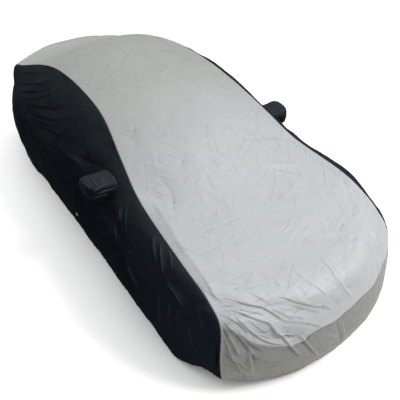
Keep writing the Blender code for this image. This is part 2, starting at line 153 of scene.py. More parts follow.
Side = namedtuple("Side", "rib belt_out belt_back belt_up hem_out hem_back hem_up")
SIDES = [
    Side("bonnet lip", 0.850, 0.510, 0.525, 0.845, 0.555, 0.170),
    Side("bonnet front", 0.895, 0.795, 0.690, 0.870, 0.800, 0.125),
    Side("bonnet rear", 0.912, 1.350, 0.760, 0.892, 1.350, 0.115),
    Side("cowl", 0.900, 1.770, 0.760, 0.903, 1.750, 0.145),
    Side("windscreen top", 0.920, 2.100, 0.870, 0.907, 2.100, 0.150),
    Side("roof front", 0.937, 2.550, 0.915, 0.915, 2.550, 0.150),
    Side("roof rear", 0.935, 3.150, 0.910, 0.925, 3.150, 0.135),
    Side("rear window", 0.910, 3.640, 0.900, 0.920, 3.655, 0.115),
    Side("boot front", 0.840, 4.050, 0.830, 0.885, 4.120, 0.150),
    Side("boot middle", 0.785, 4.270, 0.790, 0.845, 4.320, 0.175),
]
HemPull = namedtuple("HemPull", "name back reach out up")
HEM_PULLS = [
    HemPull("front corner", 0.44, 0.07, 0.000, 0.025),
    HemPull("front wheel", 0.78, 0.20, 0.012, -0.015),
    HemPull("rear wheel", 3.72, 0.34, 0.018, -0.020),
]
HEM_PULL_START = 0.5

# %% [markdown]
# ## From ribs to a smooth surface
#
# A curve through the ribs' values gives every row between them. The mesh rows follow the wanted cell size:
# the number of cells up to a station is the integral of one over the cell, so equal steps of that sum are
# rows that are close where the cells are small.

# %% Curves through the ribs
RIB_VALUES = np.array([rib[1:6] for rib in RIBS])
RIB_CELLS = np.array([rib.cell for rib in RIBS])
ROW_SAMPLES = 4000
TINY = 1e-12


def unit(vectors):
    """Vectors made one long."""
    return vectors / np.maximum(np.linalg.norm(vectors, axis=-1, keepdims=True), TINY)


def eased(share):
    """0 below 0, 1 above 1, and a smooth way between."""
    share = np.clip(share, 0, 1)
    return share * share * (3 - 2 * share)


def spans(points, axis=0):
    """The distances between neighbouring points."""
    return np.linalg.norm(np.diff(points, axis=axis), axis=-1)


def running(steps, axis=0):
    """The running total of steps, from zero."""
    return np.insert(np.cumsum(steps, axis=axis), 0, 0.0, axis=axis)


def placed(points):
    """Points given as out, back and up, moved to the part's own frame."""
    return np.asarray(points, float) - (0.0, MIDDLE_BACK, LOWEST_HEM)


def cubic(t, start, end, start_slope, end_slope):
    """The cubic from start to end that leaves and arrives with the given slopes."""
    return (
        (1 + 2 * t) * (1 - t) ** 2 * start
        + t * (1 - t) ** 2 * start_slope
        + t * t * (3 - 2 * t) * end
        + t * t * (t - 1) * end_slope
    )


def smooth_track(knots, values, at):
    """A smooth curve through the values: cubic pieces, each knot's slope weighed from its two sides."""
    values = np.asarray(values, float)
    width = np.diff(knots)[:, None]
    slope = np.diff(values, axis=0) / width
    tangent = np.empty_like(values)
    tangent[1:-1] = (width[1:] * slope[:-1] + width[:-1] * slope[1:]) / (width[1:] + width[:-1])
    tangent[0] = 1.5 * slope[0] - 0.5 * tangent[1]
    tangent[-1] = 1.5 * slope[-1] - 0.5 * tangent[-2]
    piece = np.clip(np.searchsorted(knots, at, side="right") - 1, 0, len(knots) - 2)
    t = ((at - knots[piece]) / width[piece, 0])[:, None]
    slopes = tangent[piece] * width[piece], tangent[piece + 1] * width[piece]
    return cubic(t, values[piece], values[piece + 1], *slopes)


def rib_stations():
    """How far along the cover each rib lies, as the mean of the ways along its crown and along its seam."""
    return running((spans(RIB_VALUES[:, :2]) + spans(RIB_VALUES[:, 2:])) / 2)


STATIONS = rib_stations()


def row_stations(first, last, coarser=1.0):
    """The stations of the mesh rows from one rib to another, spaced by the ribs' cells."""
    fine = np.linspace(STATIONS[first], STATIONS[last], ROW_SAMPLES)
    density = 1 / (coarser * np.interp(fine, STATIONS, RIB_CELLS))
    count = running((density[1:] + density[:-1]) / 2 * np.diff(fine))
    return np.interp(np.linspace(0, count[-1], round(count[-1]) + 1), count, fine)


print("cover length along its middle", round(float(STATIONS[-1]), 2), "m")

# %% [markdown]
# ## Two kinds of panel
#
# The centre panel bends down from its crown to its seams. A side panel leaves the seam in the direction in
# which the centre panel arrives there, so the two share one rounded shoulder, then turns over the belt to
# the hem. A few columns lie very close to each sewn edge, because the cloth curls into the seam within a
# few millimetres.

# %% The grids of the panels
EDGE_COLUMNS = np.array([0.0, 0.0014, 0.0030, 0.0052, 0.0085, 0.0130])
CENTRE_COLUMNS = 260
BELT_ROWS = 64
HEM_ROWS = 76
SIDE_CELL_SCALE = 0.86
CORNER_BLEND = 0.16


def centre_grid():
    """The centre panel's points, by row from the front hem to the rear one, and from right to left."""
    track = smooth_track(STATIONS, RIB_VALUES, row_stations(0, len(RIBS) - 1))
    crown_back, crown_up, seam_out, seam_back, seam_up = track.T[:, :, None]
    near = 1 - EDGE_COLUMNS[None, :-1] / seam_out
    inner = 1 - EDGE_COLUMNS[-1] / seam_out
    middle = np.linspace(-1, 1, CENTRE_COLUMNS + 1)[None] * inner
    across = np.concatenate([-near, middle, near[:, ::-1]], axis=1)
    out = seam_out * across
    back = crown_back + (seam_back - crown_back) * np.abs(across) ** CROWN_POWER_BACK
    up = crown_up + (seam_up - crown_up) * np.abs(across) ** CROWN_POWER_UP
    return placed(np.stack([out, back, up], axis=-1))


def steps_from_seam(length):
    """Shares of the way from the seam to the belt, with the close columns of the sewn edge first."""
    edge = EDGE_COLUMNS[:-1] / length
    first = EDGE_COLUMNS[-1] / length
    return np.concatenate([edge, np.linspace(first, 1, BELT_ROWS + 1)])


def side_grid(sign):
    """One side panel's points, by column from its front corner to its rear one, and from seam to hem."""
    rows = row_stations(NOSE, BOOT_EDGE, SIDE_CELL_SCALE)
    rows = np.concatenate([rows[0] + EDGE_COLUMNS[:-1], rows[2:-2], rows[-1] - EDGE_COLUMNS[-2::-1]])
    track = smooth_track(STATIONS, RIB_VALUES, rows)
    crown_back, crown_up, seam_out, seam_back, seam_up = track.T
    seam = track[:, 2:]
    fall = [seam_out, CROWN_POWER_BACK * (seam_back - crown_back), CROWN_POWER_UP * (seam_up - crown_up)]
    leaving = unit(np.stack(fall, axis=1))
    knots = STATIONS[NOSE : BOOT_EDGE + 1]
    front_bumper, rear_bumper = RIBS[1][3:6], RIBS[-2][3:6]
    front_hem, rear_hem = RIBS[0][3:6], RIBS[-1][3:6]
    belt = smooth_track(knots, [front_bumper, *[side[1:4] for side in SIDES], rear_bumper], rows)
    hem = smooth_track(knots, [front_hem, *[side[4:7] for side in SIDES], rear_hem], rows)
    to_belt = np.linalg.norm(belt - seam, axis=1)[:, None]
    to_hem = np.linalg.norm(hem - belt, axis=1)[:, None]
    over_belt = (to_hem * unit(belt - seam) + to_belt * unit(hem - belt)) / (to_belt + to_hem)
    at_hem = 1.5 * unit(hem - belt) - 0.5 * over_belt
    upper = steps_from_seam(float(to_belt.mean()))
    lower = np.linspace(0, 1, HEM_ROWS + 1)[1:]
    points = [cubic(t, seam, belt, leaving * to_belt, over_belt * to_belt) for t in upper]
    points += [cubic(t, belt, hem, over_belt * to_hem, at_hem * to_hem) for t in lower]
    grid = np.stack(points, axis=1)
    down = np.concatenate([upper / 2, 0.5 + lower / 2])
    low = np.clip((down - HEM_PULL_START) / (1 - HEM_PULL_START), 0, 1) ** 2
    for pull in HEM_PULLS:
        near = np.exp(-(((hem[:, 1] - pull.back) / pull.reach) ** 4))
        grid += (near[:, None] * low)[..., None] * (pull.out, 0, pull.up)
    blend_corner(grid, down, 0, rows - rows[0], (NOSE, 1, 0))
    blend_corner(grid, down, -1, rows[-1] - rows, (BOOT_EDGE, BOOT_EDGE + 1, BOOT_EDGE + 2))
    return placed(grid) * (sign, 1, 1)


def blend_corner(grid, down, edge, distance, ribs):
    """Leads the panel's corner column onto the vertical seam that runs down over three ribs."""
    at = np.interp(down, [0, 0.5, 1], STATIONS[list(ribs)])
    seam = smooth_track(STATIONS, RIB_VALUES, at)[:, 2:]
    miss = seam - grid[edge]
    share = np.clip(1 - distance / CORNER_BLEND, 0, 1) ** 2
    grid += share[:, None, None] * miss[None]


def outward(grid, turn, closed=False):
    """The unit normals of a grid of points, whose last column may be its first."""
    if closed:
        grid = np.concatenate([grid[:, -2:-1], grid, grid[:, 1:2]], axis=1)
    normals = unit(np.cross(np.gradient(grid, axis=0), np.gradient(grid, axis=1))) * turn
    return normals[:, 1:-1] if closed else normals


# %% [markdown]
# ## One class for a sheet of cloth
#
# Every crease is a height above the smooth surface, so a panel keeps its smooth points, the way out at each
# one and a height that the next cells add to. Its flat place, in metres across and along the cloth, becomes
# the UV map, so that a weave follows the threads.

# %% The Panel class
def flat_place(grid, centred):
    """The flat place of each point: metres across, from the middle or the edge, and metres along."""
    across = running(spans(grid, 1), 1)
    if centred:
        across -= across[:, -1:] / 2
    return across, np.broadcast_to(running(spans(grid).mean(axis=1))[:, None], across.shape)


def grid_faces(rows, columns):
    """The corner numbers of the cells of a grid of points."""
    corner = (np.arange(rows - 1)[:, None] * columns + np.arange(columns - 1)).reshape(-1, 1)
    return corner + np.array([0, 1, columns + 1, columns])


class Panel:
    """A cloth as a grid of points. Its turn makes the normals point out, and a closed one goes round."""

    def __init__(self, name, grid, turn, centred=False, closed=False):
        self.name, self.turn, self.closed = name, turn, closed
        self.points = grid
        self.out = outward(grid, turn, closed)
        self.height = np.zeros(grid.shape[:2])
        self.across, self.along = flat_place(grid, centred)

    def settle(self):
        """Makes the height so far part of the surface, and works out the way out anew."""
        self.points = self.points + self.out * self.height[..., None]
        self.height[:] = 0.0
        self.out = outward(self.points, self.turn, self.closed)

    def tree(self, step=2):
        """A tree for finding where a sight line meets the panel."""
        rows = np.unique(np.r_[0 : self.points.shape[0] : step, self.points.shape[0] - 1])
        columns = np.unique(np.r_[0 : self.points.shape[1] : step, self.points.shape[1] - 1])
        grid = self.points[np.ix_(rows, columns)]
        return BVHTree.FromPolygons(grid.reshape(-1, 3).tolist(), grid_faces(*grid.shape[:2]).tolist())


SIGNS = {"right": -1, "left": 1}
panels = {"centre": Panel("centre", centre_grid(), -1, centred=True)}
for side, sign in SIGNS.items():
    panels[side] = Panel(side, side_grid(sign), -sign)
for name, panel in panels.items():
    print(name, "grid", panel.points.shape[:2], "cells", len(grid_faces(*panel.points.shape[:2])))

# %% [markdown]
# ## The main folds of the solids
#
# The solids have their largest folds pressed in as soft straight ridges and troughs. The same table makes
# them here, so that the cloth and the solids agree. Like every crease, a fold fades out towards its ends
# and towards the seams, where the cloth is sewn flat.

# %% Press the main folds
Fold = namedtuple("Fold", "out0 back0 up0 out1 back1 up1 width depth")
FOLDS = {
    "centre": [
        Fold(-0.62, 0.36, 0.80, -0.08, 0.13, 0.70, 0.050, -0.014),
        Fold(-0.64, 0.30, 0.74, -0.18, 0.10, 0.60, 0.050, 0.012),
        Fold(-0.62, 0.26, 0.66, -0.28, 0.10, 0.54, 0.050, -0.012),
        Fold(-0.54, 0.45, 0.84, -0.30, 0.30, 0.82, 0.050, -0.006),
        Fold(-0.68, 0.32, 0.68, -0.56, 0.22, 0.24, 0.045, 0.010),
        Fold(-0.62, 0.27, 0.62, -0.46, 0.15, 0.26, 0.045, -0.008),
        Fold(-0.46, 0.20, 0.66, -0.22, 0.08, 0.28, 0.045, 0.009),
        Fold(-0.32, 0.13, 0.60, -0.10, 0.06, 0.28, 0.045, -0.007),
        Fold(0.02, 0.07, 0.54, 0.04, 0.04, 0.30, 0.040, 0.006),
        Fold(0.05, 0.38, 0.83, 0.10, 0.15, 0.72, 0.045, -0.005),
        Fold(-0.16, 0.43, 0.83, -0.04, 0.15, 0.72, 0.045, 0.005),
        Fold(0.44, 0.46, 0.84, 0.34, 0.20, 0.76, 0.050, 0.006),
        Fold(0.02, 1.56, 1.22, 0.58, 1.40, 1.05, 0.060, -0.006),
        Fold(0.24, 1.20, 1.01, 0.60, 1.04, 0.95, 0.060, 0.005),
        Fold(-0.52, 1.92, 1.27, -0.57, 1.60, 1.16, 0.050, -0.006),
    ],
    "right": [
        Fold(-0.79, 3.42, 1.10, -0.67, 2.95, 1.26, 0.060, 0.008),
        Fold(-0.82, 3.62, 1.02, -0.68, 3.22, 1.22, 0.060, -0.008),
        Fold(-0.93, 3.30, 0.92, -0.88, 2.92, 1.00, 0.060, -0.006),
        Fold(-0.83, 1.42, 0.92, -0.93, 1.40, 0.40, 0.055, 0.009),
        Fold(-0.82, 1.30, 0.92, -0.93, 1.24, 0.44, 0.055, -0.008),
        Fold(-0.80, 1.00, 0.92, -0.92, 0.86, 0.46, 0.055, 0.008),
        Fold(-0.82, 0.74, 0.84, -0.89, 0.66, 0.34, 0.055, -0.007),
    ],
    "left": [
        Fold(0.79, 3.36, 1.10, 0.67, 2.98, 1.26, 0.060, 0.008),
        Fold(0.82, 3.68, 1.01, 0.68, 3.20, 1.22, 0.060, -0.007),
        Fold(0.84, 1.50, 0.90, 0.93, 1.44, 0.44, 0.055, 0.008),
        Fold(0.82, 1.22, 0.92, 0.93, 1.20, 0.48, 0.055, -0.008),
        Fold(0.82, 0.82, 0.86, 0.91, 0.74, 0.38, 0.055, 0.007),
    ],
}
FOLD_ENDS = 0.1
FLAT_SEAM = 0.07


def sewn_flat(panel, reach):
    """A share from 0 on the seams to 1 at that distance from them, for each point of a panel."""
    width = panel.across.max(axis=1, keepdims=True) - panel.across.min(axis=1, keepdims=True)
    from_first = panel.across - panel.across[:, :1]
    if panel.name == "centre":
        nearest = np.minimum(from_first, width - from_first)
    else:
        total = panel.along[-1, 0]
        nearest = np.minimum(from_first, np.minimum(panel.along, total - panel.along))
    return eased(nearest / reach)


for name, panel in panels.items():
    for fold in FOLDS[name]:
        start, end = placed([fold[:3], fold[3:6]])
        run = end - start
        t = np.clip((panel.points - start) @ run / (run @ run), 0, 1)
        off = np.linalg.norm(panel.points - (start + t[..., None] * run), axis=-1)
        along = np.sin(math.pi * (FOLD_ENDS + (1 - 2 * FOLD_ENDS) * t))
        panel.height += fold.depth * np.exp(-((off / fold.width) ** 2)) * along
    panel.height *= sewn_flat(panel, FLAT_SEAM)
    panel.height += CLOTH
    panel.settle()
    print("pressed", len(FOLDS[name]), "main folds into", name)

# %% [markdown]
# ## A crease as a line pressed into the cloth
#
# A crease follows a line on the surface. Its height above the cloth is a bell across the line: a ridge
# where the height is above zero and a trough below it. A lean turns the bell into a step, with one side up
# and the other down, as where cloth is folded over. Near the line's two ends the bell fades out.

# %% Press a line into a panel
STEP_GAIN = 2.33
STEP_EDGE = 0.32
STEP_TAIL = 2.0
STEP_REACH = 7.0
BELL_REACH = 2.6
LINE_STEP = 0.010


def along_line(points, step=LINE_STEP):
    """A smooth line through a few points, as evenly spaced points."""
    points = np.asarray(points, float)
    knots = running(spans(points))
    count = max(3, int(knots[-1] / step) + 1)
    at = np.linspace(0, knots[-1], count)
    if len(points) == 2:
        return points[0] + (at / knots[-1])[:, None] * (points[1] - points[0])
    return smooth_track(knots, points, at)


def press(panel, line, width, height, lean=0.0, sharp=1.25, fade=0.22):
    """Adds one crease to a panel's height, along a line of points near its surface."""
    reach = (STEP_REACH if lean == 1 else BELL_REACH) * width
    low, high = line.min(axis=0) - reach, line.max(axis=0) + reach
    near = np.nonzero(((panel.points >= low) & (panel.points <= high)).all(axis=-1))
    if len(near[0]) == 0:
        return 0
    points, out = panel.points[near], panel.out[near]
    best = np.full(len(points), np.inf)
    where, side = np.zeros(len(points)), np.zeros(len(points))
    steps = spans(line)
    passed = running(steps)
    for k, (start, run) in enumerate(zip(line[:-1], np.diff(line, axis=0))):
        t = np.clip((points - start) @ run / (run @ run), 0, 1)
        off = points - start - t[:, None] * run
        off -= (off * out).sum(axis=1, keepdims=True) * out
        distance = np.linalg.norm(off, axis=1)
        closer = distance < best
        best[closer] = distance[closer]
        where[closer] = (passed[k] + t * steps[k])[closer]
        side[closer] = np.sign((np.cross(out, run) * off).sum(axis=1))[closer]
    x = best / width
    if lean == 1:
        shape = side * np.tanh(x / STEP_EDGE) * np.exp(-x / STEP_TAIL)
    else:
        bell = np.exp(-(x**sharp))
        shape = (1 - abs(lean)) * bell + lean * STEP_GAIN * side * x * np.exp(-(x**2))
    end = np.minimum(where, passed[-1] - where) / (fade * passed[-1])
    panel.height[near] += height * shape * eased(end)
    return 1


def sight_crease(tree, pixels, step=LINE_STEP):
    """The line on the cloth behind some pixels, or None where fewer than two of them meet it."""
    hits = [tree.ray_cast(CAMERA_PLACE, sight_line(pixel))[0] for pixel in pixels]
    hits = [hit for hit in hits if hit is not None]
    return along_line(hits, step) if len(hits) > 1 else None


# %% [markdown]
# ## The creases of the photograph
#
# Each crease that shows is listed: a few pixels that it runs through, as read off the photograph, and its
# own width and height in millimetres. The sight lines through those pixels meet the cloth where the
# crease lies. A row holds the width, the height, the lean and then the pixels. Most of these spring from
# the front corner, where the elastic hem pulls the cloth down under the bumper, and they are steps, so
# their lean is 1.

# %% Creases of the front
FRONT_CREASES = [
    (8, 2.2, 1, (220, 280), (232, 282), (246, 284)),
    (10, 3.4, 1, (228, 287), (240, 289), (250, 293), (258, 297), (265, 301), (272, 304)),
    (
        14, 7.8, 1,
        (228, 299), (238, 302), (250, 305), (260, 307), (265, 309), (277, 316), (283, 320),
        (292, 323),
    ),
    (12, 4.5, 1, (268, 308), (276, 311), (284, 315), (290, 318), (297, 321)),
    (12, 5.5, 1, (282, 321), (292, 322), (302, 322), (313, 324), (323, 326)),
    (10, 3.5, 1, (286, 316), (296, 317), (306, 320)),
    (
        13, 7.8, 1,
        (228, 309), (240, 313), (250, 317), (262, 321), (268, 323), (272, 327), (277, 333),
        (283, 334), (300, 335),
    ),
    (9, 3.5, 1, (236, 308), (246, 311), (257, 313), (266, 316)),
    (13, 7.8, 1, (232, 316), (242, 323), (250, 330), (256, 335), (262, 339), (270, 342), (286, 343)),
    (9, 4, 1, (244, 318), (252, 323), (260, 329), (268, 333)),
    (9, 3.5, 1, (252, 333), (262, 335), (271, 338)),
    (10, 13, 0, (271, 324), (281, 333), (288, 342), (295, 350), (301, 356), (306, 367)),
    (9, -6, 0, (278, 334), (286, 343), (293, 352), (300, 359)),
    (9, 11, 0, (296, 330), (302, 337), (307, 343), (313, 350), (319, 356)),
    (8, -5, 0, (300, 339), (306, 346), (313, 353)),
    (12, 10, 1, (221, 321), (230, 329), (238, 336), (244, 343), (250, 351), (257, 363)),
    (12, 9.5, 1, (221, 324), (226, 332), (230, 340), (235, 349), (240, 358)),
    (11, 8, 1, (221, 330), (225, 341), (229, 352), (236, 365), (246, 376)),
    (10, 6.5, 1, (226, 318), (234, 321), (241, 326), (249, 334)),
    (10, 7, 1, (236, 330), (244, 337), (254, 346), (266, 353)),
    (11, 15, 0, (249, 346), (250, 354), (252, 364), (255, 373), (258, 381)),
    (9, 8.5, 1, (257, 384), (254, 374), (252, 362), (251, 350)),
    (9, 4.5, 1, (252, 355), (260, 359), (270, 361), (284, 361)),
    (10, 8, 1, (222, 350), (230, 358), (240, 364), (248, 369)),
    (10, 8.5, 1, (221, 361), (232, 366), (243, 372), (247, 378)),
    (9, 5, 1, (262, 367), (276, 365), (292, 361)),
    (9, 4.5, 1, (302, 356), (311, 357), (320, 353)),
    (9, -5, 0, (300, 358), (304, 366)),
    (9, -5, 0, (280, 366), (281, 374)),
    (9, -5, 0, (337, 319), (339, 330), (340, 342)),
    (9, 5, 0, (342, 320), (343, 340)),
    (8, -4, 0, (344, 319), (345, 337)),
    (9, -3.5, 0, (348, 319), (348, 334)),
]
print(len(FRONT_CREASES), "creases of the front")

# %% [markdown]
# ## The bonnet's creases
#
# The bonnet is the flattest cloth of the cover and lies loose on the car. Its creases are the ones it was
# packed in: short, soft, without one direction, and most of them troughs, so their lean is 0. Towards the
# far corner they fan out to the point where the hem pulls. They are wider than those of the front, as the
# mesh is coarser.

# %% Creases of the bonnet
BONNET_CREASES = [
    (15, 5.7, 1, (274, 297), (290, 300), (295, 302), (305, 304), (314, 306), (327, 307), (332, 313)),
    (12.5, 4, 1, (287, 303), (297, 307), (310, 310), (322, 313)),
    (11.2, 3.4, 0, (295, 297), (303, 301), (311, 305)),
    (12.5, 3.4, 1, (290, 267), (304, 279), (312, 284), (320, 290), (329, 298)),
    (11.2, -3.4, 0, (294, 285), (300, 290), (305, 297)),
    (11.2, -3.4, 0, (271, 280), (279, 287)),
    (11.2, 3.4, 0, (275, 279), (283, 286)),
    (17.5, -3.4, 0, (254, 272), (262, 275), (269, 281)),
    (12.5, 8.6, 0, (319, 256), (325, 262), (332, 270), (340, 281), (347, 291), (353, 299)),
    (12.5, 3, 1, (190, 236), (212, 228), (223, 224), (232, 219), (248, 215)),
    (11.2, -3.4, 0, (202, 169), (207, 177), (209, 182), (212, 188), (217, 190)),
    (11.2, -2.9, 0, (226, 174), (220, 181)),
    (11.2, 4.6, 0, (297, 182), (291, 190), (285, 200)),
    (17.5, -2.9, 0, (192, 230), (198, 222), (201, 213)),
    (15, -2.9, 0, (216, 249), (217, 240), (221, 235)),
    (15, -2.9, 0, (198, 254), (210, 250), (218, 247)),
    (15, -2.9, 0, (270, 213), (282, 208)),
    (15, -2.9, 0, (278, 219), (289, 213)),
    (15, -2.9, 0, (273, 226), (288, 219), (302, 214)),
    (17.5, -3.4, 0, (308, 225), (301, 231)),
    (11.2, -5.7, 0, (340, 232), (341, 227), (344, 222)),
    (11.2, -4.6, 0, (349, 241), (354, 238), (358, 235)),
    (11.2, -4.6, 0, (335, 233), (341, 235), (347, 236)),
    (11.2, -3.4, 0, (347, 235), (348, 244)),
    (11.2, -3.4, 0, (352, 245), (353, 252)),
    (12.5, 5.7, 0, (371, 230), (375, 239), (377, 246)),
    (11.2, -3.4, 0, (359, 235), (366, 241), (371, 246)),
    (15, 4.6, 0, (320, 213), (324, 228), (325, 240)),
    (11.2, -3.4, 0, (322, 225), (324, 234), (321, 241)),
    (11.2, -3.4, 0, (329, 214), (326, 221)),
    (11.2, -3.4, 0, (346, 215), (348, 223)),
    (20, -3.4, 0, (352, 199), (353, 218)),
    (11.2, -3.4, 0, (329, 296), (339, 304)),
    (11.2, -3.4, 0, (344, 285), (353, 289)),
    (17.5, -4.6, 0, (374, 260), (377, 270), (375, 280), (369, 291)),
]
print(len(BONNET_CREASES), "creases of the bonnet")

# %% [markdown]
# ## The creases of the windscreen and the roof
#
# Where the roof turns down into the windscreen, the cloth hangs in shallow arcs from side to side. One long
# trough follows the far seam from the roof to the bonnet, where the side panel pulls it down.

# %% Creases of the windscreen and the roof
ROOF_CREASES = [
    (15, 4.6, 0, (260, 166), (275, 166), (290, 165), (302, 165)),
    (13.7, -4.6, 0, (262, 165), (280, 170), (293, 173), (305, 175)),
    (13.7, 4.6, 0, (206, 125), (217, 129), (226, 131), (235, 135)),
    (15, -4.6, 0, (228, 134), (240, 138), (248, 140), (262, 139), (272, 138), (282, 139), (298, 144)),
    (12.5, -3.4, 0, (244, 132), (258, 135), (273, 138)),
    (13.7, 4, 0, (198, 141), (207, 140), (216, 144)),
    (13.7, -4, 0, (199, 147), (208, 145), (216, 150), (225, 155), (231, 157)),
    (20, 3.4, 0, (216, 158), (221, 170)),
    (13.7, -2.5, 0, (230, 118), (251, 123)),
    (13.7, -2.5, 0, (228, 112), (245, 117), (260, 120)),
    (17.5, -2.9, 0, (213, 97), (235, 108), (262, 123)),
    (22.5, -2.9, 0, (158, 61), (185, 66), (217, 74)),
    (15, -5.7, 0, (137, 126), (133, 134), (131, 141)),
    (13.7, -3.4, 0, (139, 118), (133, 134)),
    (15, -4, 0, (145, 116), (139, 130), (134, 144)),
    (17.5, -3.4, 0, (146, 111), (150, 119)),
    (13.7, 5.7, 0, (155, 151), (154, 160), (157, 171)),
    (13.7, -4.6, 0, (131, 160), (135, 166)),
    (16.3, -6.9, 0, (158, 178), (165, 184), (170, 191), (173, 198), (174, 207), (174, 217)),
    (13.7, -3.4, 0, (185, 150), (183, 162), (181, 170), (178, 177)),
    (12.5, -4.6, 0, (279, 127), (300, 147), (320, 163), (340, 178), (360, 197), (379, 220)),
    (20, -6.9, 0, (48, 50), (60, 46)),
    (20, -5.7, 0, (20, 63), (32, 56)),
    (17.5, -4.6, 0, (38, 50), (52, 48)),
]
print(len(ROOF_CREASES), "creases of the windscreen and the roof")

# %% [markdown]
# ## The creases of the near side
#
# The side is pulled by the hem below and by the tail behind. Long low steps cross the rear quarter, and
# upright ridges and troughs run down the front wing, where the cloth spans the wheel arch.

# %% Creases of the near side
SIDE_CREASES = [
    (26, 4.5, 1, (18, 74), (30, 73), (40, 72), (48, 69)),
    (30, 6.2, 1, (18, 84), (34, 84), (46, 83), (56, 79), (70, 72)),
    (30, 6.6, 1, (17, 91), (32, 92), (44, 91), (54, 87), (73, 77)),
    (28, 5, 1, (22, 99), (40, 98), (50, 95), (70, 86)),
    (26, 4.4, 1, (22, 101), (40, 107), (50, 108), (72, 109)),
    (30, 6, 1, (22, 109), (38, 116), (48, 119), (58, 120), (76, 118)),
    (24, 4, 1, (28, 117), (44, 124), (62, 129)),
    (24, 4.2, 1, (32, 124), (52, 132), (72, 138)),
    (18, -5, 0, (78, 128), (76, 149)),
    (20, 7, 0, (53, 141), (62, 151), (70, 157), (80, 162), (86, 173)),
    (20, -7, 0, (68, 152), (80, 158), (90, 162), (100, 166), (113, 170)),
    (16, 9.6, 0, (121, 205), (121, 226)),
    (16, 9.6, 0, (127, 202), (126, 225), (128, 245)),
    (12, -6.4, 0, (124, 203), (124, 227)),
    (16, -9.6, 0, (113, 206), (115, 222), (119, 240)),
    (16, 8, 0, (114, 223), (118, 247)),
    (16, 15, 0, (154, 230), (156, 255), (160, 274)),
    (15, 15, 0, (160, 238), (163, 262), (165, 282)),
    (18, 17, 0, (164, 276), (170, 285), (176, 293), (182, 303), (189, 313)),
    (20, 15, 0, (184, 312), (190, 330), (198, 356)),
    (16, 12, 0, (196, 300), (201, 322), (208, 346)),
    (20, 14, 0, (122, 250), (133, 276), (147, 302)),
    (16, 12, 0, (168, 246), (172, 262), (173, 276)),
    (14, -8, 0, (185, 311), (188, 322), (190, 334)),
    (18, 14, 0, (162, 283), (164, 332)),
    (18, 14, 0, (171, 293), (172, 332)),
    (14, 8, 0, (179, 308), (178, 327)),
    (14, -9.6, 0, (217, 338), (217, 374)),
]
print(len(SIDE_CREASES), "creases of the near side")

# %% [markdown]
# ## Press them in
#
# Every row becomes a line on the cloth and is pressed as a bell or a step. A crease of the centre panel is
# deep almost to its ends, and one of the loosely hung side dies out slowly, over almost half of its length.

# %% Press the creases
MM = 0.001
CENTRE_FADE = 0.22
SIDE_FADE = 0.42
trees = {name: panel.tree() for name, panel in panels.items()}
pressed, missed = 0, []
for name, creases, fade in (
    ("centre", FRONT_CREASES + BONNET_CREASES + ROOF_CREASES, CENTRE_FADE),
    ("right", SIDE_CREASES, SIDE_FADE),
):
    for width, height, lean, *pixels in creases:
        line = sight_crease(trees[name], pixels)
        if line is None:
            missed.append(pixels[0])
        else:
            pressed += press(panels[name], line, width * MM, height * MM, lean, fade=fade)
print("pressed", pressed, "creases; missed", missed)

# %% [markdown]
# ## The two long edges
#
# Two long edges give the front its form: the bonnet's front edge, below which the cloth falls into shade,
# and the near shoulder, where it turns down to the seam. The first needs a profile of its own, a sharp
# crest with a hollow under it, so it isn't pressed as a bell. How far each point lies below it is kept for
# the paint.

# %% Press the two edges
BONNET_EDGE = [
    (226, 325), (240, 333), (252, 340), (266, 344), (288, 344), (300, 340),
    (312, 331), (335, 318), (355, 300), (372, 283), (381, 268),
]
CREST_HEIGHT = 0.017
CREST_ABOVE = 0.075
CREST_BELOW = 0.016
CREST_ROUND = 1.4
CREST_DIP = 0.009
CREST_HANG = 0.110
CREST_FADE = 0.12
CREST_REACH = 0.45
CREST_REACH_SOFT = 0.1
SHOULDER_EDGE = [
    (150, 200), (160, 212), (170, 228), (180, 245), (190, 258),
    (200, 272), (207, 283), (215, 297), (226, 305),
]
SHOULDER_WIDTH = 0.018
SHOULDER_HEIGHT = 0.0045
SHOULDER_FADE = 0.1


def press_crest(panel, line):
    """Presses a sharp crest along a line, hollow below it, and gives how far below it each point lies."""
    grid = panel.points
    best = np.full(grid.shape[:2], np.inf)
    below, end = np.zeros_like(best), np.zeros_like(best)
    for k, (start, run) in enumerate(zip(line[:-1], np.diff(line, axis=0))):
        share = np.clip((grid - start) @ run / (run @ run), 0, 1)
        off = grid - start - share[..., None] * run
        distance = np.linalg.norm(off, axis=-1)
        closer = distance < best
        best[closer] = distance[closer]
        below[closer] = -off[..., 2][closer]
        end[closer] = ((k + share) / (len(line) - 1))[closer]
    above = CREST_HEIGHT * np.exp(-best / CREST_ABOVE)
    hang = CREST_DIP * np.exp(-best / CREST_HANG)
    under = (CREST_HEIGHT + CREST_DIP) * np.exp(-((best / CREST_BELOW) ** CREST_ROUND)) - hang
    inner = eased(np.minimum(end, 1 - end) / CREST_FADE)
    near = np.clip((CREST_REACH - best) / CREST_REACH_SOFT, 0, 1) * inner
    panel.height += np.where(below > 0, under, above) * near
    return below


below_crest = press_crest(panels["centre"], sight_crease(trees["centre"], BONNET_EDGE))
shoulder = sight_crease(trees["centre"], SHOULDER_EDGE)
press(panels["centre"], shoulder, SHOULDER_WIDTH, SHOULDER_HEIGHT, lean=1, fade=SHOULDER_FADE)
print("the crest stands", round(1000 * float(panels["centre"].height.max())), "mm high at most")

# %% [markdown]
# ## Small wrinkles that nobody counts
#
# Between the main creases the cloth has hundreds of fine ones. They run in families: across the bonnet's
# corner, down from the roof line, fanned over the wheels. Each family is a row of a table that says where
# on the panel it lies, which way its wrinkles head and how long, wide and high they are, and a generator
# with a fixed seed draws the strokes. Rib numbers give the place along the car, and the share across is -1
# to 1 on the centre panel and 0, the seam, to 1, the hem, on a side.

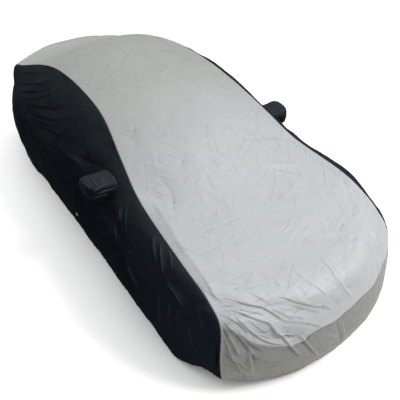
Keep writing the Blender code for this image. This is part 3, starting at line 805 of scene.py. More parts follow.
# %% Scatter the families of wrinkles
SEED = 11
Family = namedtuple("Family", "rib0 rib1 across0 across1 heading spread length width height count")
CENTRE_FAMILIES = [
    Family(0.2, 1.6, -0.98, 0.98, 10, 20, 0.09, 0.006, 0.0024, 120),
    Family(0.1, 1.3, -0.98, 0.30, 80, 14, 0.10, 0.007, 0.0028, 90),
    Family(1.5, 3.4, -0.98, 0.05, 74, 12, 0.15, 0.006, 0.0030, 150),
    Family(1.6, 3.8, 0.20, 0.98, -62, 22, 0.11, 0.006, 0.0026, 110),
    Family(2.6, 4.6, -0.90, 0.90, 70, 30, 0.10, 0.010, 0.0016, 90),
    Family(3.6, 6.0, -0.95, 0.95, 45, 60, 0.10, 0.010, 0.0013, 150),
    Family(3.8, 5.6, 0.10, 0.80, 40, 14, 0.12, 0.010, 0.0016, 50),
    Family(5.2, 7.2, -0.95, 0.95, 84, 16, 0.18, 0.012, 0.0018, 70),
    Family(6.5, 10.5, -0.95, 0.95, 80, 50, 0.20, 0.016, 0.0013, 110),
    Family(9.6, 13.2, -0.95, 0.95, 60, 40, 0.16, 0.014, 0.0020, 110),
    Family(12.6, 14.9, -0.98, 0.98, 8, 25, 0.14, 0.013, 0.0026, 110),
]
SIDE_FAMILIES = [
    Family(2.0, 12.8, 0.55, 0.98, 90, 9, 0.30, 0.024, 0.0040, 50),
    Family(2.2, 7.0, 0.10, 0.60, 84, 10, 0.30, 0.020, 0.0036, 34),
    Family(6.0, 9.5, 0.05, 0.60, 20, 14, 0.30, 0.022, 0.0026, 24),
    Family(9.5, 12.6, 0.05, 0.70, -24, 12, 0.34, 0.024, 0.0044, 34),
]
STROKE_BOW = 0.10
STROKE_POINTS = 7
STROKE_LENGTHS = (0.5, 1.5)
STROKE_HEIGHTS = (0.3, 1.0)
STROKE_WIDTHS = (0.8, 1.5)
STROKE_LEANS = (-0.5, 0.5)
STROKE_SHARP = 1.15
STROKE_FADE = 0.45


def grid_place(panel, rib, across):
    """The row and column numbers, with fractions, of a place given by rib number and share across."""
    station = np.interp(rib, np.arange(len(RIBS)), STATIONS)
    first, last = (0, len(RIBS) - 1) if panel.name == "centre" else (NOSE, BOOT_EDGE)
    share = (station - STATIONS[first]) / (STATIONS[last] - STATIONS[first])
    row = np.interp(share, panel.along[:, 0] / panel.along[-1, 0], np.arange(len(panel.along)))
    lengths = panel.across[int(row)]
    return row, np.interp(across, lengths / lengths[-1], np.arange(len(lengths)))


def grid_point(panel, rows, columns):
    """Points of the panel at row and column numbers with fractions."""
    rows = np.clip(rows, 0, panel.points.shape[0] - 1.001)
    columns = np.clip(columns, 0, panel.points.shape[1] - 1.001)
    i, j = rows.astype(int), columns.astype(int)
    a, b = (rows - i)[:, None], (columns - j)[:, None]
    grid = panel.points
    near = (1 - b) * grid[i, j] + b * grid[i, j + 1]
    far = (1 - b) * grid[i + 1, j] + b * grid[i + 1, j + 1]
    return (1 - a) * near + a * far


def stroke(panel, rib, across, heading, length, bow):
    """The points of a slightly bowed line on the panel, by its middle, heading and length."""
    row, column = grid_place(panel, rib, across)
    i, j = int(row), int(np.clip(column, 1, panel.points.shape[1] - 2))
    i = min(max(i, 1), panel.points.shape[0] - 2)
    row_step = np.linalg.norm(panel.points[i + 1, j] - panel.points[i - 1, j]) / 2
    column_step = np.linalg.norm(panel.points[i, j + 1] - panel.points[i, j - 1]) / 2
    s = np.linspace(-0.5, 0.5, STROKE_POINTS)
    forward, aside = s * length, bow * length * (1 - 4 * s * s)
    c, n = math.cos(math.radians(heading)), math.sin(math.radians(heading))
    rows = row + (forward * c - aside * n) / row_step
    columns = column + (forward * n + aside * c) / column_step
    return grid_point(panel, rows, columns)


draw = np.random.default_rng(SEED)
strokes = 0
for name, panel in panels.items():
    for family in CENTRE_FAMILIES if name == "centre" else SIDE_FAMILIES:
        for _ in range(family.count):
            rib = draw.uniform(family.rib0, family.rib1)
            across = draw.uniform(family.across0, family.across1)
            heading = family.heading + draw.normal(0, family.spread)
            length = family.length * draw.uniform(*STROKE_LENGTHS)
            height = family.height * draw.uniform(*STROKE_HEIGHTS) * draw.choice([-1, 1])
            line = stroke(panel, rib, across, heading, length, draw.normal(0, STROKE_BOW))
            width = family.width * draw.uniform(*STROKE_WIDTHS)
            lean = draw.uniform(*STROKE_LEANS)
            strokes += press(panel, line, width, height, lean, STROKE_SHARP, STROKE_FADE)
print("pressed", strokes, "fine wrinkles")

# %% [markdown]
# ## Slack
#
# A cover is cut a little larger than the car, so its surface waves gently everywhere. The slack is a sum of
# sine waves in random directions. Their folded form, the distance from zero, has sharp lines in soft
# fields, which is how creased cloth looks.

# %% Add the slack
SLACK_WAVES = 26
Slack = namedtuple("Slack", "longest shortest smooth creased")
CENTRE_SLACK = Slack(0.55, 0.16, 0.0014, 0.0012)
SIDE_SLACK = Slack(0.70, 0.20, 0.0028, 0.0018)
BENT_SHARES = (0.7, 0.6)
BENT_LEVEL = 0.8


def waves(panel, longest, shortest, seed):
    """A smooth random field of about unit size on a panel, with waves between two lengths."""
    chance = np.random.default_rng(seed)
    field = np.zeros(panel.across.shape)
    for length in np.geomspace(longest, shortest, SLACK_WAVES):
        angle, phase = chance.uniform(0, math.pi), chance.uniform(0, 2 * math.pi)
        way = panel.across * math.cos(angle) + panel.along * math.sin(angle)
        field += np.cos(2 * math.pi * way / length + phase)
    return field / math.sqrt(SLACK_WAVES / 2)


for number, (name, panel) in enumerate(panels.items()):
    slack = CENTRE_SLACK if name == "centre" else SIDE_SLACK
    smooth = waves(panel, slack.longest, slack.shortest, SEED + number)
    bent_lengths = slack.longest * BENT_SHARES[0], slack.shortest * BENT_SHARES[1]
    bent = waves(panel, *bent_lengths, SEED + 10 + number)
    panel.height += slack.smooth * smooth + slack.creased * (BENT_LEVEL - np.abs(bent))
    low, high = panel.height.min() / MM, panel.height.max() / MM
    print(name, "heights", round(float(low)), "to", round(float(high)), "mm")

# %% [markdown]
# ## Seams and hems
#
# At a seam both sheets turn in and are sewn together inside, so the outside shows a narrow groove, with
# small puckers where the thread draws the cloth. At the hem the cloth is folded round an elastic cord and
# drawn up, so it gathers: many short folds that die out a hand's width above the edge.

# %% Curl the seams and gather the hems
SEAM_DEPTH = 0.0036
SEAM_CURL = 0.0040
SEAM_ROUND = 1.5
PUCKER_HEIGHT = 0.0011
PUCKER_START = 0.008
PUCKER_REACH = 0.030
PUCKER_LENGTHS = (0.021, 0.029, 0.041)
GATHER_HEIGHT = 0.0018
GATHER_REACH = 0.075
GATHER_ROUND = 1.3
GATHER_LENGTHS = (0.048, 0.034, 0.027, 0.021)
GATHER_PEAKS = 0.35
WANDER = 1.6
WANDER_LENGTH = 9.3


def ripple(way, lengths, seed):
    """Uneven waves along an edge, from a few wave lengths whose phases wander."""
    chance = np.random.default_rng(seed)
    total = np.zeros_like(way)
    for length in lengths:
        wander = WANDER * np.sin(2 * math.pi * way / (length * WANDER_LENGTH) + chance.uniform(0, 6))
        total += np.cos(2 * math.pi * way / length + wander + chance.uniform(0, 6))
    return total / math.sqrt(len(lengths))


def curl_edge(panel, distance, way, seed):
    """Turns a sewn edge in and puckers the cloth beside it."""
    panel.height -= SEAM_DEPTH * np.exp(-((distance / SEAM_CURL) ** SEAM_ROUND))
    swell = (distance / PUCKER_START) * np.exp(1 - distance / PUCKER_START)
    share = np.clip(swell, 0, 1) * np.exp(-distance / PUCKER_REACH)
    panel.height += PUCKER_HEIGHT * ripple(way, PUCKER_LENGTHS, seed) * share


def gather_edge(panel, distance, way, seed):
    """Gathers the cloth towards a hem."""
    share = np.exp(-((distance / GATHER_REACH) ** GATHER_ROUND))
    field = ripple(way, GATHER_LENGTHS, seed)
    panel.height += GATHER_HEIGHT * share * (field + GATHER_PEAKS * np.abs(field))


def edge_distance(panel, edge):
    """How far each point lies from one edge, along the mesh: first or last row, or first or last column."""
    if edge in ("first row", "last row"):
        way = running(spans(panel.points))
        return way if edge == "first row" else way[-1:] - way
    way = panel.across - panel.across[:, :1]
    return way if edge == "first column" else way[:, -1:] - way


SEWN = {"centre": ("first column", "last column")}
HEMMED = {"centre": ("first row", "last row")}
for side in SIGNS:
    SEWN[side] = ("first column", "first row", "last row")
    HEMMED[side] = ("last column",)
EYELET_BACK = 2.17
EYELET_UP = 0.42
EYELET_FLAT = 0.060
EDGE_REACH = 0.035
EDGE_SHARE = 0.15
for name, panel in panels.items():
    panel.height *= EDGE_SHARE + (1 - EDGE_SHARE) * sewn_flat(panel, EDGE_REACH)
    if name != "centre":
        away = np.linalg.norm((panel.points - placed((0, EYELET_BACK, EYELET_UP)))[..., 1:], axis=-1)
        panel.height *= 1 - np.exp(-((away / EYELET_FLAT) ** 4))
    for number, edge in enumerate(SEWN[name]):
        way = panel.along if "column" in edge else panel.across
        curl_edge(panel, edge_distance(panel, edge), way, SEED + number)
    for number, edge in enumerate(HEMMED[name]):
        way = panel.along if "column" in edge else panel.across
        gather_edge(panel, edge_distance(panel, edge), way, SEED + 20 + number)
    panel.settle()
    print(name, "sewn at its", SEWN[name], "and hemmed at its", HEMMED[name])

# %% [markdown]
# ## Turned hems
#
# A hem could be left as the plain end of the sheet, but its edge shows from low down. So a few more rows
# carry the cloth round the elastic and a little way up inside. The last rows before them are drawn up by as
# much as the turn takes, so that the hem ends where the panel does.

# %% Turn the hems
HEM_RADIUS = 0.0040
HEM_ANGLES = (35, 80, 125, 170)
HEM_INSIDE = (0.008, 0.016, 0.026)
HEM_ROWS_UP = 7


def turned_hem(grid, out):
    """A grid whose last rows are the hem, drawn up and then carried round the elastic and up inside."""
    down = unit(grid[-1] - grid[-3])
    grid = grid.copy()
    grid[-HEM_ROWS_UP:] -= (np.linspace(0, 1, HEM_ROWS_UP) ** 2)[:, None, None] * down * HEM_RADIUS
    down = unit(grid[-1] - grid[-3])
    rows = []
    for angle in HEM_ANGLES:
        c, s = math.cos(math.radians(angle)), math.sin(math.radians(angle))
        rows.append(grid[-1] - out[-1] * HEM_RADIUS * (1 - c) + down * HEM_RADIUS * s)
    rows += [rows[-1] - down * rise for rise in HEM_INSIDE]
    return np.concatenate([grid, rows])


def with_hems(panel):
    """The panel's points with its turned hems, and with the hem's edge on the panel's own outline."""
    grid, out = panel.points, panel.out
    for edge in HEMMED[panel.name]:
        if "column" in edge:
            grid = turned_hem(grid.transpose(1, 0, 2), out.transpose(1, 0, 2)).transpose(1, 0, 2)
        elif "first" in edge:
            grid = turned_hem(grid[::-1], out[::-1])[::-1]
        else:
            grid = turned_hem(grid, out)
    return grid


hemmed = {name: with_hems(panel) for name, panel in panels.items()}
print({name: grid.shape[:2] for name, grid in hemmed.items()})

# %% [markdown]
# ## The mirror pockets
#
# Each door mirror stands in a pocket of its own: a short bag sewn into an oval hole of the side panel. It
# could be blown up with a cloth simulation, but its shape is settled by the mirror inside it, so it is a
# loft through a few ovals, from the hole to the closed tip. The bag is cut larger than the mirror, so it
# gathers where it is sewn in and at its tip, and long pleats slant over it.

# %% Loft the pockets
Pocket = namedtuple("Pocket", "back up tuck")
POCKETS = {"right": Pocket(1.70, 0.970, 0.010), "left": Pocket(1.77, 1.000, 0.040)}
Ring = namedtuple("Ring", "out back up half_length half_height")
POCKET_RINGS = [
    Ring(0.885, 0.000, 0.000, 0.125, 0.078),
    Ring(0.925, 0.010, 0.002, 0.120, 0.076),
    Ring(0.968, 0.030, 0.004, 0.098, 0.063),
    Ring(0.992, 0.042, 0.004, 0.060, 0.038),
    Ring(0.9955, 0.042, 0.004, 0.024, 0.015),
    Ring(0.996, 0.042, 0.004, 0.004, 0.003),
]
POCKET_POWER = 2.6
POCKET_POINTS = 144
POCKET_CELL = 0.0038
SEAM_ALLOWANCE = 0.006
SLEEVE_RINGS = ((SEAM_ALLOWANCE, 0.004), (0.0015, 0.0015), (0.0015, -0.004))


def oval(half_length, half_height, points=POCKET_POINTS, power=POCKET_POWER):
    """A soft-cornered oval whose last point is its first, as pairs of a way back and a way up."""
    angle = np.linspace(0, 2 * math.pi, points + 1)
    c, s = np.cos(angle), np.sin(angle)
    back = half_length * np.sign(c) * np.abs(c) ** (2 / power)
    up = half_height * np.sign(s) * np.abs(s) ** (2 / power)
    return np.stack([back, up], axis=1)


def beside(side, back, up):
    """The distance out at which a side panel stands beside a place on the car's middle plane."""
    return walls[side].ray_cast(Vector((0, back, up)), Vector((SIGNS[side], 0, 0)))[0].x


def pocket_grid(side):
    """The pocket's points, by ring from inside the hole to the tip, and round each ring."""
    pocket, sign, sleeve = POCKETS[side], SIGNS[side], POCKET_RINGS[0]
    _, back, up = placed((0, pocket.back, pocket.up))
    rings = []
    for shrink, drop in SLEEVE_RINGS:
        flat = oval(sleeve.half_length - shrink, sleeve.half_height - shrink) + (back, up)
        out = np.array([beside(side, *place) for place in flat]) - sign * drop
        rings.append(np.column_stack([out, flat]))
    for ring in POCKET_RINGS:
        flat = oval(ring.half_length, ring.half_height) + (back + ring.back, up + ring.up)
        rings.append(np.column_stack([np.full(len(flat), sign * (ring.out - pocket.tuck)), flat]))
    rings = np.stack(rings)
    knots = running(spans(rings).mean(axis=1))
    at = np.linspace(0, knots[-1], round(knots[-1] / POCKET_CELL))
    return smooth_track(knots, rings.reshape(len(rings), -1), at).reshape(len(at), -1, 3)


walls = {side: panels[side].tree(1) for side in SIGNS}
pockets = {}
for side, sign in SIGNS.items():
    grid = pocket_grid(side)
    pockets[side] = Panel("pocket_" + side, grid, -sign, centred=True, closed=True)
    print(side, "pocket's grid", grid.shape[:2])

# %% [markdown]
# ## Pleats of the pockets
#
# The gathers at the hole and at the tip come from the same uneven ripple as those of the hem. The near
# pocket's main pleats are placed where the photograph has them, and the far one, of which only the
# back shows, gets pleats of the same sizes at given angles.

# %% Pleat the pockets
POCKET_GATHER = 0.0024
POCKET_GATHER_REACH = 0.030
POCKET_GATHERS = (31, 23, 17)
POCKET_CALM = 0.006
TIP_SHARE = 0.5
PLEAT_STEP = 0.005
NEAR_PLEATS = [
    (5, -5, 0.4, (87, 178), (91, 183), (95, 188)),
    (4.5, 4, 0.3, (89, 176), (94, 182), (98, 188)),
    (4.5, -4.5, 0.3, (92, 175), (96, 181), (99, 186)),
    (5, -5.5, 0.4, (96, 175), (99, 180), (102, 186)),
    (5, 4, 0, (100, 174), (103, 180), (104, 185)),
    (5, -4.5, 0.3, (104, 174), (106, 179), (107, 184)),
    (5, -4, 0, (110, 175), (111, 182)),
    (7, 6, 0, (92, 192), (97, 190), (103, 186), (110, 184), (117, 182)),
    (7, -8, 0, (88, 192), (95, 193), (103, 190), (111, 188), (117, 185)),
    (6, 6, 0, (93, 197), (98, 197), (103, 195), (108, 196)),
    (6, -6, 0, (96, 200), (102, 198), (107, 200)),
    (5, -6, 0, (117, 183), (115, 190), (113, 197)),
    (5, 5, 0, (119, 184), (117, 191), (115, 198)),
    (5, -5, 0, (120, 187), (119, 193), (118, 199)),
    (6, 5, 0, (82, 182), (87, 186), (92, 190)),
]
Pleat = namedtuple("Pleat", "angle0 share0 angle1 share1 width height")
PLEATS = [
    Pleat(40, 0.20, 62, 0.75, 0.0055, -0.0050),
    Pleat(75, 0.25, 84, 0.80, 0.0050, 0.0040),
    Pleat(105, 0.15, 98, 0.70, 0.0055, -0.0050),
    Pleat(135, 0.20, 150, 0.70, 0.0055, 0.0045),
    Pleat(170, 0.10, 178, 0.80, 0.0060, -0.0055),
    Pleat(200, 0.25, 230, 0.60, 0.0070, 0.0060),
    Pleat(225, 0.30, 290, 0.50, 0.0070, -0.0070),
    Pleat(250, 0.15, 262, 0.75, 0.0055, -0.0045),
    Pleat(310, 0.15, 300, 0.70, 0.0055, 0.0045),
    Pleat(350, 0.10, 335, 0.80, 0.0060, -0.0050),
]
FIRST_HIDDEN = 4
PLEAT_POINTS = 9
PLEAT_LEAN = 0.2


def press_pleat(panel, pleat):
    """Presses a pleat between two places, by angle round the pocket and share of the way to its tip."""
    rows, columns = panel.points.shape[:2]
    t = np.linspace(0, 1, PLEAT_POINTS)
    row = (pleat.share0 + t * (pleat.share1 - pleat.share0)) * (rows - 1)
    angle = pleat.angle0 + t * (pleat.angle1 - pleat.angle0)
    line = grid_point(panel, row, angle / 360 * (columns - 1))
    press(panel, line, pleat.width, pleat.height, PLEAT_LEAN)


def gather_pocket(panel, seed):
    """Gathers a pocket round its mouth and its tip."""
    around = panel.across - panel.across[:, :1]
    turns = around / around[:, -1:] * float(around[:, -1].max())
    at_mouth = np.exp(-(((panel.along - SEAM_ALLOWANCE) / POCKET_GATHER_REACH) ** 2))
    at_tip = np.exp(-(((panel.along[-1, 0] - panel.along) / POCKET_GATHER_REACH) ** 2))
    gathers = ripple(turns, turns[:, -1].max() / np.array(POCKET_GATHERS), seed)
    gathers = (gathers + gathers[:, ::-1]) / 2
    slack = np.clip((panel.along - SEAM_ALLOWANCE) / POCKET_CALM, 0, 1)
    panel.height += POCKET_GATHER * gathers * (at_mouth + TIP_SHARE * at_tip) * slack
    panel.height *= slack


near_tree = pockets["right"].tree(1)
for width, height, lean, *pixels in NEAR_PLEATS:
    line = sight_crease(near_tree, pixels, PLEAT_STEP)
    if line is not None:
        press(pockets["right"], line, width * MM, height * MM, lean)
for number, (side, panel) in enumerate(pockets.items()):
    for pleat in PLEATS[FIRST_HIDDEN:] if side == "right" else PLEATS:
        press_pleat(panel, pleat)
    gather_pocket(panel, SEED + 40 + number)
    panel.settle()
print("pleated", list(pockets))

# %% [markdown]
# ## Windows in the side panels
#
# A pocket and a patch each stand in a hole of the side panel. The panel's mesh is a plain grid, so the
# cells that lie wholly inside the hole are left out, and the corners that still lie inside it move out to
# its rim.

# %% Cut the windows
PATCH_WINDOW = 0.020
PATCH_WINDOW_POWER = 2
NEAREST_SHARE = 0.05


def open_window(grid, faces, side, back, up, half_length, half_height, power):
    """Leaves out the cells inside an oval and moves the corners that lie inside it to its rim."""
    middle = placed((0, back, up))[1:]
    away = grid[..., 1:] - middle
    share = (np.abs(away[..., 0]) / half_length) ** power + (np.abs(away[..., 1]) / half_height) ** power
    share = share ** (1 / power)
    flat = share.reshape(-1)
    kept = [face for face in faces if max(flat[corner] for corner in face) > 1]
    corners = {corner for face in kept for corner in face if flat[corner] < 1}
    for corner in corners:
        i, j = divmod(corner, grid.shape[1])
        back, up = middle + away[i, j] / max(share[i, j], NEAREST_SHARE)
        grid[i, j] = beside(side, back, up), back, up
    return kept


def side_faces(side, grid):
    """The cells of a side panel, with a window for the pocket and one for the patch."""
    pocket, mouth = POCKETS[side], POCKET_RINGS[0]
    pocket_window = pocket.back, pocket.up, mouth.half_length, mouth.half_height, POCKET_POWER
    patch_window = EYELET_BACK, EYELET_UP, PATCH_WINDOW, PATCH_WINDOW, PATCH_WINDOW_POWER
    faces = grid_faces(*grid.shape[:2]).tolist()
    for window in (pocket_window, patch_window):
        faces = open_window(grid, faces, side, *window)
    return faces


faces = {side: side_faces(side, hemmed[side]) for side in SIGNS}
print({side: len(found) for side, found in faces.items()}, "cells left")

# %% [markdown]
# ## Fewer cells where the cloth is smooth
#
# The centre panel needs its fine cells only at the creased front. Behind it every other column ends, in one
# row of five-sided cells, which halves the number of cells on the windscreen, the roof and the tail.

# %% Thin the centre panel
FINE_CELL = 0.0072
EDGE_COUNT = len(EDGE_COLUMNS) - 1


def centre_faces(rows, columns):
    """The cells of the centre panel: all columns up to the last fine row, and every other one behind it."""
    cells = np.interp(row_stations(0, len(RIBS) - 1), STATIONS, RIB_CELLS)
    fine_rows = (rows - len(cells)) // 2 + int(np.argmax(cells > FINE_CELL))
    edges = np.arange(EDGE_COUNT)
    middle = np.arange(EDGE_COUNT, columns - EDGE_COUNT, 2)
    kept = np.concatenate([edges, middle, columns - EDGE_COUNT + edges]).tolist()
    found = grid_faces(fine_rows + 1, columns).tolist()
    for row in range(fine_rows, rows - 1):
        near, far = row * columns, (row + 1) * columns
        for a, b in zip(kept[:-1], kept[1:]):
            inner = range(a, b + 1) if row == fine_rows else (a, b)
            found.append([*(near + k for k in inner), far + b, far + a])
    return found


faces["centre"] = centre_faces(*hemmed["centre"].shape[:2])
print(len(faces["centre"]), "cells on the centre panel")

# %% [markdown]
# ## What the paint needs to know of the shape
#
# In the photograph the hollows of the creases are darker than the cloth round them and their ridges are
# lighter, more than the light alone makes them. The paint could guess this from a noise, but the creases
# are known. So each point gets a number for how deep it lies in a fold: its distance from a smoothed copy
# of the cloth, measured at two sizes, which the paint turns into painted shade in the hollows and painted
# highlights on the ridges. The painted shade under the bonnet's edge and a weaker painted shade on the band
# beside the shoulder are worked out here too.

# %% Find the hollows and the shades
CREST_SHADE = (0.060, 0.014)
CREST_SHADE_TURN = -0.40
CREST_SHADE_SOFT = 0.3
BAND_SHADE = 0.48
BAND_SOFT = 3.0
BAND_FADE = 22.0
BAND_MARKS = 4
HOLLOW_SCALES = ((3, 0.25), (24, 0.75))
HOLLOW_REACH = 26
HOLLOW_BLUR = 2
SMALLEST_CELL = 0.004


def softened(field):
    """Each point of a grid moved halfway to the mean of its four neighbours."""
    wide = np.pad(field, ((1, 1), (1, 1), (0, 0))[: field.ndim], mode="edge")
    return (wide[:-2, 1:-1] + wide[2:, 1:-1] + wide[1:-1, :-2] + wide[1:-1, 2:] + 4 * field) / 8


def hollows(panel):
    """How deep each point lies in a fold, for the size of its cells: 1 in a hollow and -1 on a ridge."""
    grid, ends = panel.points, slice(None)
    if panel.closed:
        before, after = grid[:, -HOLLOW_REACH - 1 : -1], grid[:, 1 : HOLLOW_REACH + 1]
        grid = np.concatenate([before, grid, after], axis=1)
        ends = slice(HOLLOW_REACH, -HOLLOW_REACH)
    down, across = (np.linalg.norm(np.gradient(panel.points, axis=axis), axis=-1) for axis in (0, 1))
    cell = np.maximum(np.sqrt(down * across), SMALLEST_CELL)
    smooth, done, total = grid, 0, 0.0
    for passes, slope in HOLLOW_SCALES:
        for _ in range(passes - done):
            smooth = softened(smooth)
        done = passes
        away = ((smooth - grid)[:, ends] * panel.out).sum(axis=-1)
        total += np.clip(away / (slope * cell), -1, 1) / len(HOLLOW_SCALES)
    for _ in range(HOLLOW_BLUR):
        total = softened(total)
    return total


def crest_shades(points):
    """Painted shade: 0 above the crest, 1 below it, and a weaker one on the band beside the near shoulder."""
    far = np.clip((points[..., 0] - CREST_SHADE_TURN) / CREST_SHADE_SOFT, 0, 1)
    soft = CREST_SHADE[0] + far * (CREST_SHADE[1] - CREST_SHADE[0])
    shade = np.clip((below_crest + soft / 2) / soft, 0, 1)
    shade[points.shape[0] // 2 :] = 0
    near = points[:, : points.shape[1] // 2]
    nearest = [int(np.argmin(np.linalg.norm(near - place, axis=-1))) for place in shoulder[::BAND_MARKS]]
    rows, columns = np.array(sorted(divmod(place, near.shape[1]) for place in nearest), float).T
    row = np.arange(points.shape[0])
    inside = (np.interp(row, rows, columns)[:, None] - np.arange(points.shape[1])) / BAND_SOFT + 0.5
    ends = np.clip(np.minimum(row - rows[0], rows[-1] - row) / BAND_FADE, 0, 1)
    return np.maximum(shade, BAND_SHADE * np.clip(inside, 0, 1) * ends[:, None])


def over_hems(field, grid):
    """A field of a panel's points, carried on over its turned hems."""
    rows, columns = (grid.shape[0] - field.shape[0]) // 2, grid.shape[1] - field.shape[1]
    return np.pad(field, ((rows, rows), (0, columns)), mode="edge")


fields = {}
for name, panel in panels.items():
    fields[name] = {"fold": hollows(panel), "upward": panel.out[..., 2]}
# Painted shade below the bonnet's edge and, weaker, on the band beside the near shoulder.
fields["centre"]["below_crest"] = crest_shades(panels["centre"].points)
for name, found in fields.items():
    fields[name] = {label: over_hems(field, hemmed[name]) for label, field in found.items()}
    print(name, "deepest hollow", round(float(fields[name]["fold"].max()), 2))

# %% [markdown]
# ## Sheets of cloth as meshes
#
# A panel's grid becomes a mesh of its cells, one thin layer of cloth. The faces of the pieces on the right
# run the other way round, so that all of them point outwards. The flat place in metres is stored as the UV
# map, and the numbers found above as attributes of the points, where a material can read them by name.

# %% Make the sheets
def new_object(name, mesh):
    """An object for a mesh, linked to the scene."""
    obj = bpy.data.objects.new(name, mesh)
    bpy.context.scene.collection.objects.link(obj)
    return obj


def new_piece(name, points, faces, flat=None):
    """A smooth object for points and faces, with each point's flat place as its UV map."""
    mesh = bpy.data.meshes.new(name)
    mesh.from_pydata(points, [], faces)
    if flat is not None:
        layer = mesh.uv_layers.new(name="cloth")
        corners = np.empty(len(mesh.loops), int)
        mesh.loops.foreach_get("vertex_index", corners)
        layer.data.foreach_set("uv", np.asarray(flat, np.float32)[corners].ravel())
    mesh.shade_smooth()
    mesh.update()
    return new_object(name, mesh)


def sheet_object(name, grid, faces, flip=False, centred=False, **fields):
    """A sheet from a grid of points and the faces between them, with a number per point for each field."""
    used = np.unique(np.concatenate([np.asarray(face) for face in faces]))
    number = np.full(grid.shape[0] * grid.shape[1], -1)
    number[used] = np.arange(len(used))
    faces = [number[np.array(face)][:: -1 if flip else 1].tolist() for face in faces]
    places = np.stack(flat_place(grid, centred), axis=-1).reshape(-1, 2)[used]
    sheet = new_piece(name, grid.reshape(-1, 3)[used].tolist(), faces, places)
    for label, field in fields.items():
        attribute = sheet.data.attributes.new(label, "FLOAT", "POINT")
        attribute.data.foreach_set("value", field.reshape(-1)[used].astype(np.float32))
    return sheet


def triangles(obj):
    """How many triangles an object's mesh makes."""
    return sum(len(face.vertices) - 2 for face in obj.data.polygons)


sheets = {}
for name, grid in hemmed.items():
    centred = name == "centre"
    label = "centre_sheet" if centred else "side_sheet_" + name
    sheets[name] = sheet_object(label, grid, faces[name], name == "right", centred, **fields[name])
    print(label, triangles(sheets[name]), "triangles")

# %% [markdown]
# ## Close the pockets
#
# A pocket's grid goes round, so its first and last columns are merged, and the small hole at its tip gets a
# face.

# %% Close the pockets
TIP_REACH = 0.95

for side, panel in pockets.items():
    found = {"fold": hollows(panel), "upward": panel.out[..., 2]}
    cells = grid_faces(*panel.points.shape[:2]).tolist()
    sheet = sheet_object("pocket_sheet_" + side, panel.points, cells, side == "right", **found)
    tip_out = TIP_REACH * abs(float(panel.points[-1, 0, 0]))
    shape = bmesh.new()
    shape.from_mesh(sheet.data)
    bmesh.ops.remove_doubles(shape, verts=shape.verts, dist=1e-6)
    tip = [edge for edge in shape.edges if edge.is_boundary and abs(edge.verts[0].co.x) > tip_out]
    bmesh.ops.contextual_create(shape, geom=tip)
    shape.to_mesh(sheet.data)
    shape.free()
    sheet.data.shade_smooth()
    sheets["pocket_" + side] = sheet
    print(sheet.name, triangles(sheet), "triangles")

# %% [markdown]
# ## Patches with an eyelet
#
# Low down on each door the cover has a small square patch with a metal ring in it, for a strap or a lock
# cable. The patch is a second layer of cloth, sewn on along its edges, and the ring clamps both layers. Its
# mesh runs in rings from a round hole to the square outline, laid on the side panel by casting a ray for
# each point.

# %% Lay the patches
PATCH_SIDE = 0.060
PATCH_LIFT = 0.0008
PATCH_POINTS = 96
PATCH_STEPS = 26
PATCH_CORNER = 14
PATCH_EDGE = ((0.985, 0.00068), (1.0, 0.00024), (0.99, -0.0002), (0.93, -0.0004))
FLAT_SHARE = 0.965
STITCH_INSET = 0.0032
STITCH_DIP = 0.0004
STITCH_DIP_WIDTH = 0.0015
BARREL_RADIUS = 0.0070
RAY_LIFT = 0.05


def patch_axes(side):
    """The panel's tree, the middle of a patch on it, the ways along the panel and up it, and its normal."""
    tree, sign = walls[side], SIGNS[side]
    point, normal, _, _ = tree.ray_cast(Vector(placed((0, EYELET_BACK, EYELET_UP))), Vector((sign, 0, 0)))
    normal = normal if normal.x * sign > 0 else -normal
    along = Vector((0, sign, 0)).cross(normal).cross(normal).normalized() * -sign
    return tree, point, along, normal.cross(along), normal


def on_patch(axes, u, v, lift):
    """A point above the panel, at a flat place on the patch."""
    tree, point, along, upward, normal = axes
    start = point + along * float(u) + upward * float(v) + normal * RAY_LIFT
    return tree.ray_cast(start, -normal)[0] + normal * float(lift)


def patch_sheet(name, axes):
    """The patch as a sheet with a round hole, its edge folded under."""
    outline = oval(PATCH_SIDE / 2, PATCH_SIDE / 2, PATCH_POINTS, PATCH_CORNER)
    angle = np.arctan2(outline[:, 1], outline[:, 0])
    circle = BARREL_RADIUS * np.stack([np.cos(angle), np.sin(angle)], axis=1)
    shares = [(t, PATCH_LIFT) for t in np.linspace(0, FLAT_SHARE, PATCH_STEPS)] + list(PATCH_EDGE)
    flat, points = [], []
    for t, lift in shares:
        ring = circle + t * (outline - circle)
        sewn = (1 - t) * (PATCH_SIDE / 2 - BARREL_RADIUS) - STITCH_INSET
        for k, (u, v) in enumerate(ring[:-1]):
            dip = STITCH_DIP * math.exp(-((sewn / STITCH_DIP_WIDTH) ** 2)) * (1 + 0.5 * math.sin(k * 1.7))
            points.append(on_patch(axes, u, v, lift - dip))
            flat.append((u, v))
    faces = []
    for row in range(len(shares) - 1):
        for k in range(PATCH_POINTS):
            after = (k + 1) % PATCH_POINTS
            low, high = row * PATCH_POINTS, (row + 1) * PATCH_POINTS
            faces.append((low + k, high + k, high + after, low + after))
    return new_piece(name, points, faces, flat)


places = {side: patch_axes(side) for side in SIGNS}
for side, sign in SIGNS.items():
    patch = patch_sheet("patch_sheet_" + side, places[side])
    sheets["patch_" + side] = patch
    print(patch.name, triangles(patch), "triangles, looks out", patch.data.polygons[0].normal.x * sign > 0)

# %% [markdown]
# ## The eyelets
#
# An eyelet is pressed from thin brass and nickel plated: a domed flange outside, a barrel through the
# cloth, and a washer that the barrel is rolled over inside. Such a turned part is a profile spun about its
# axis.

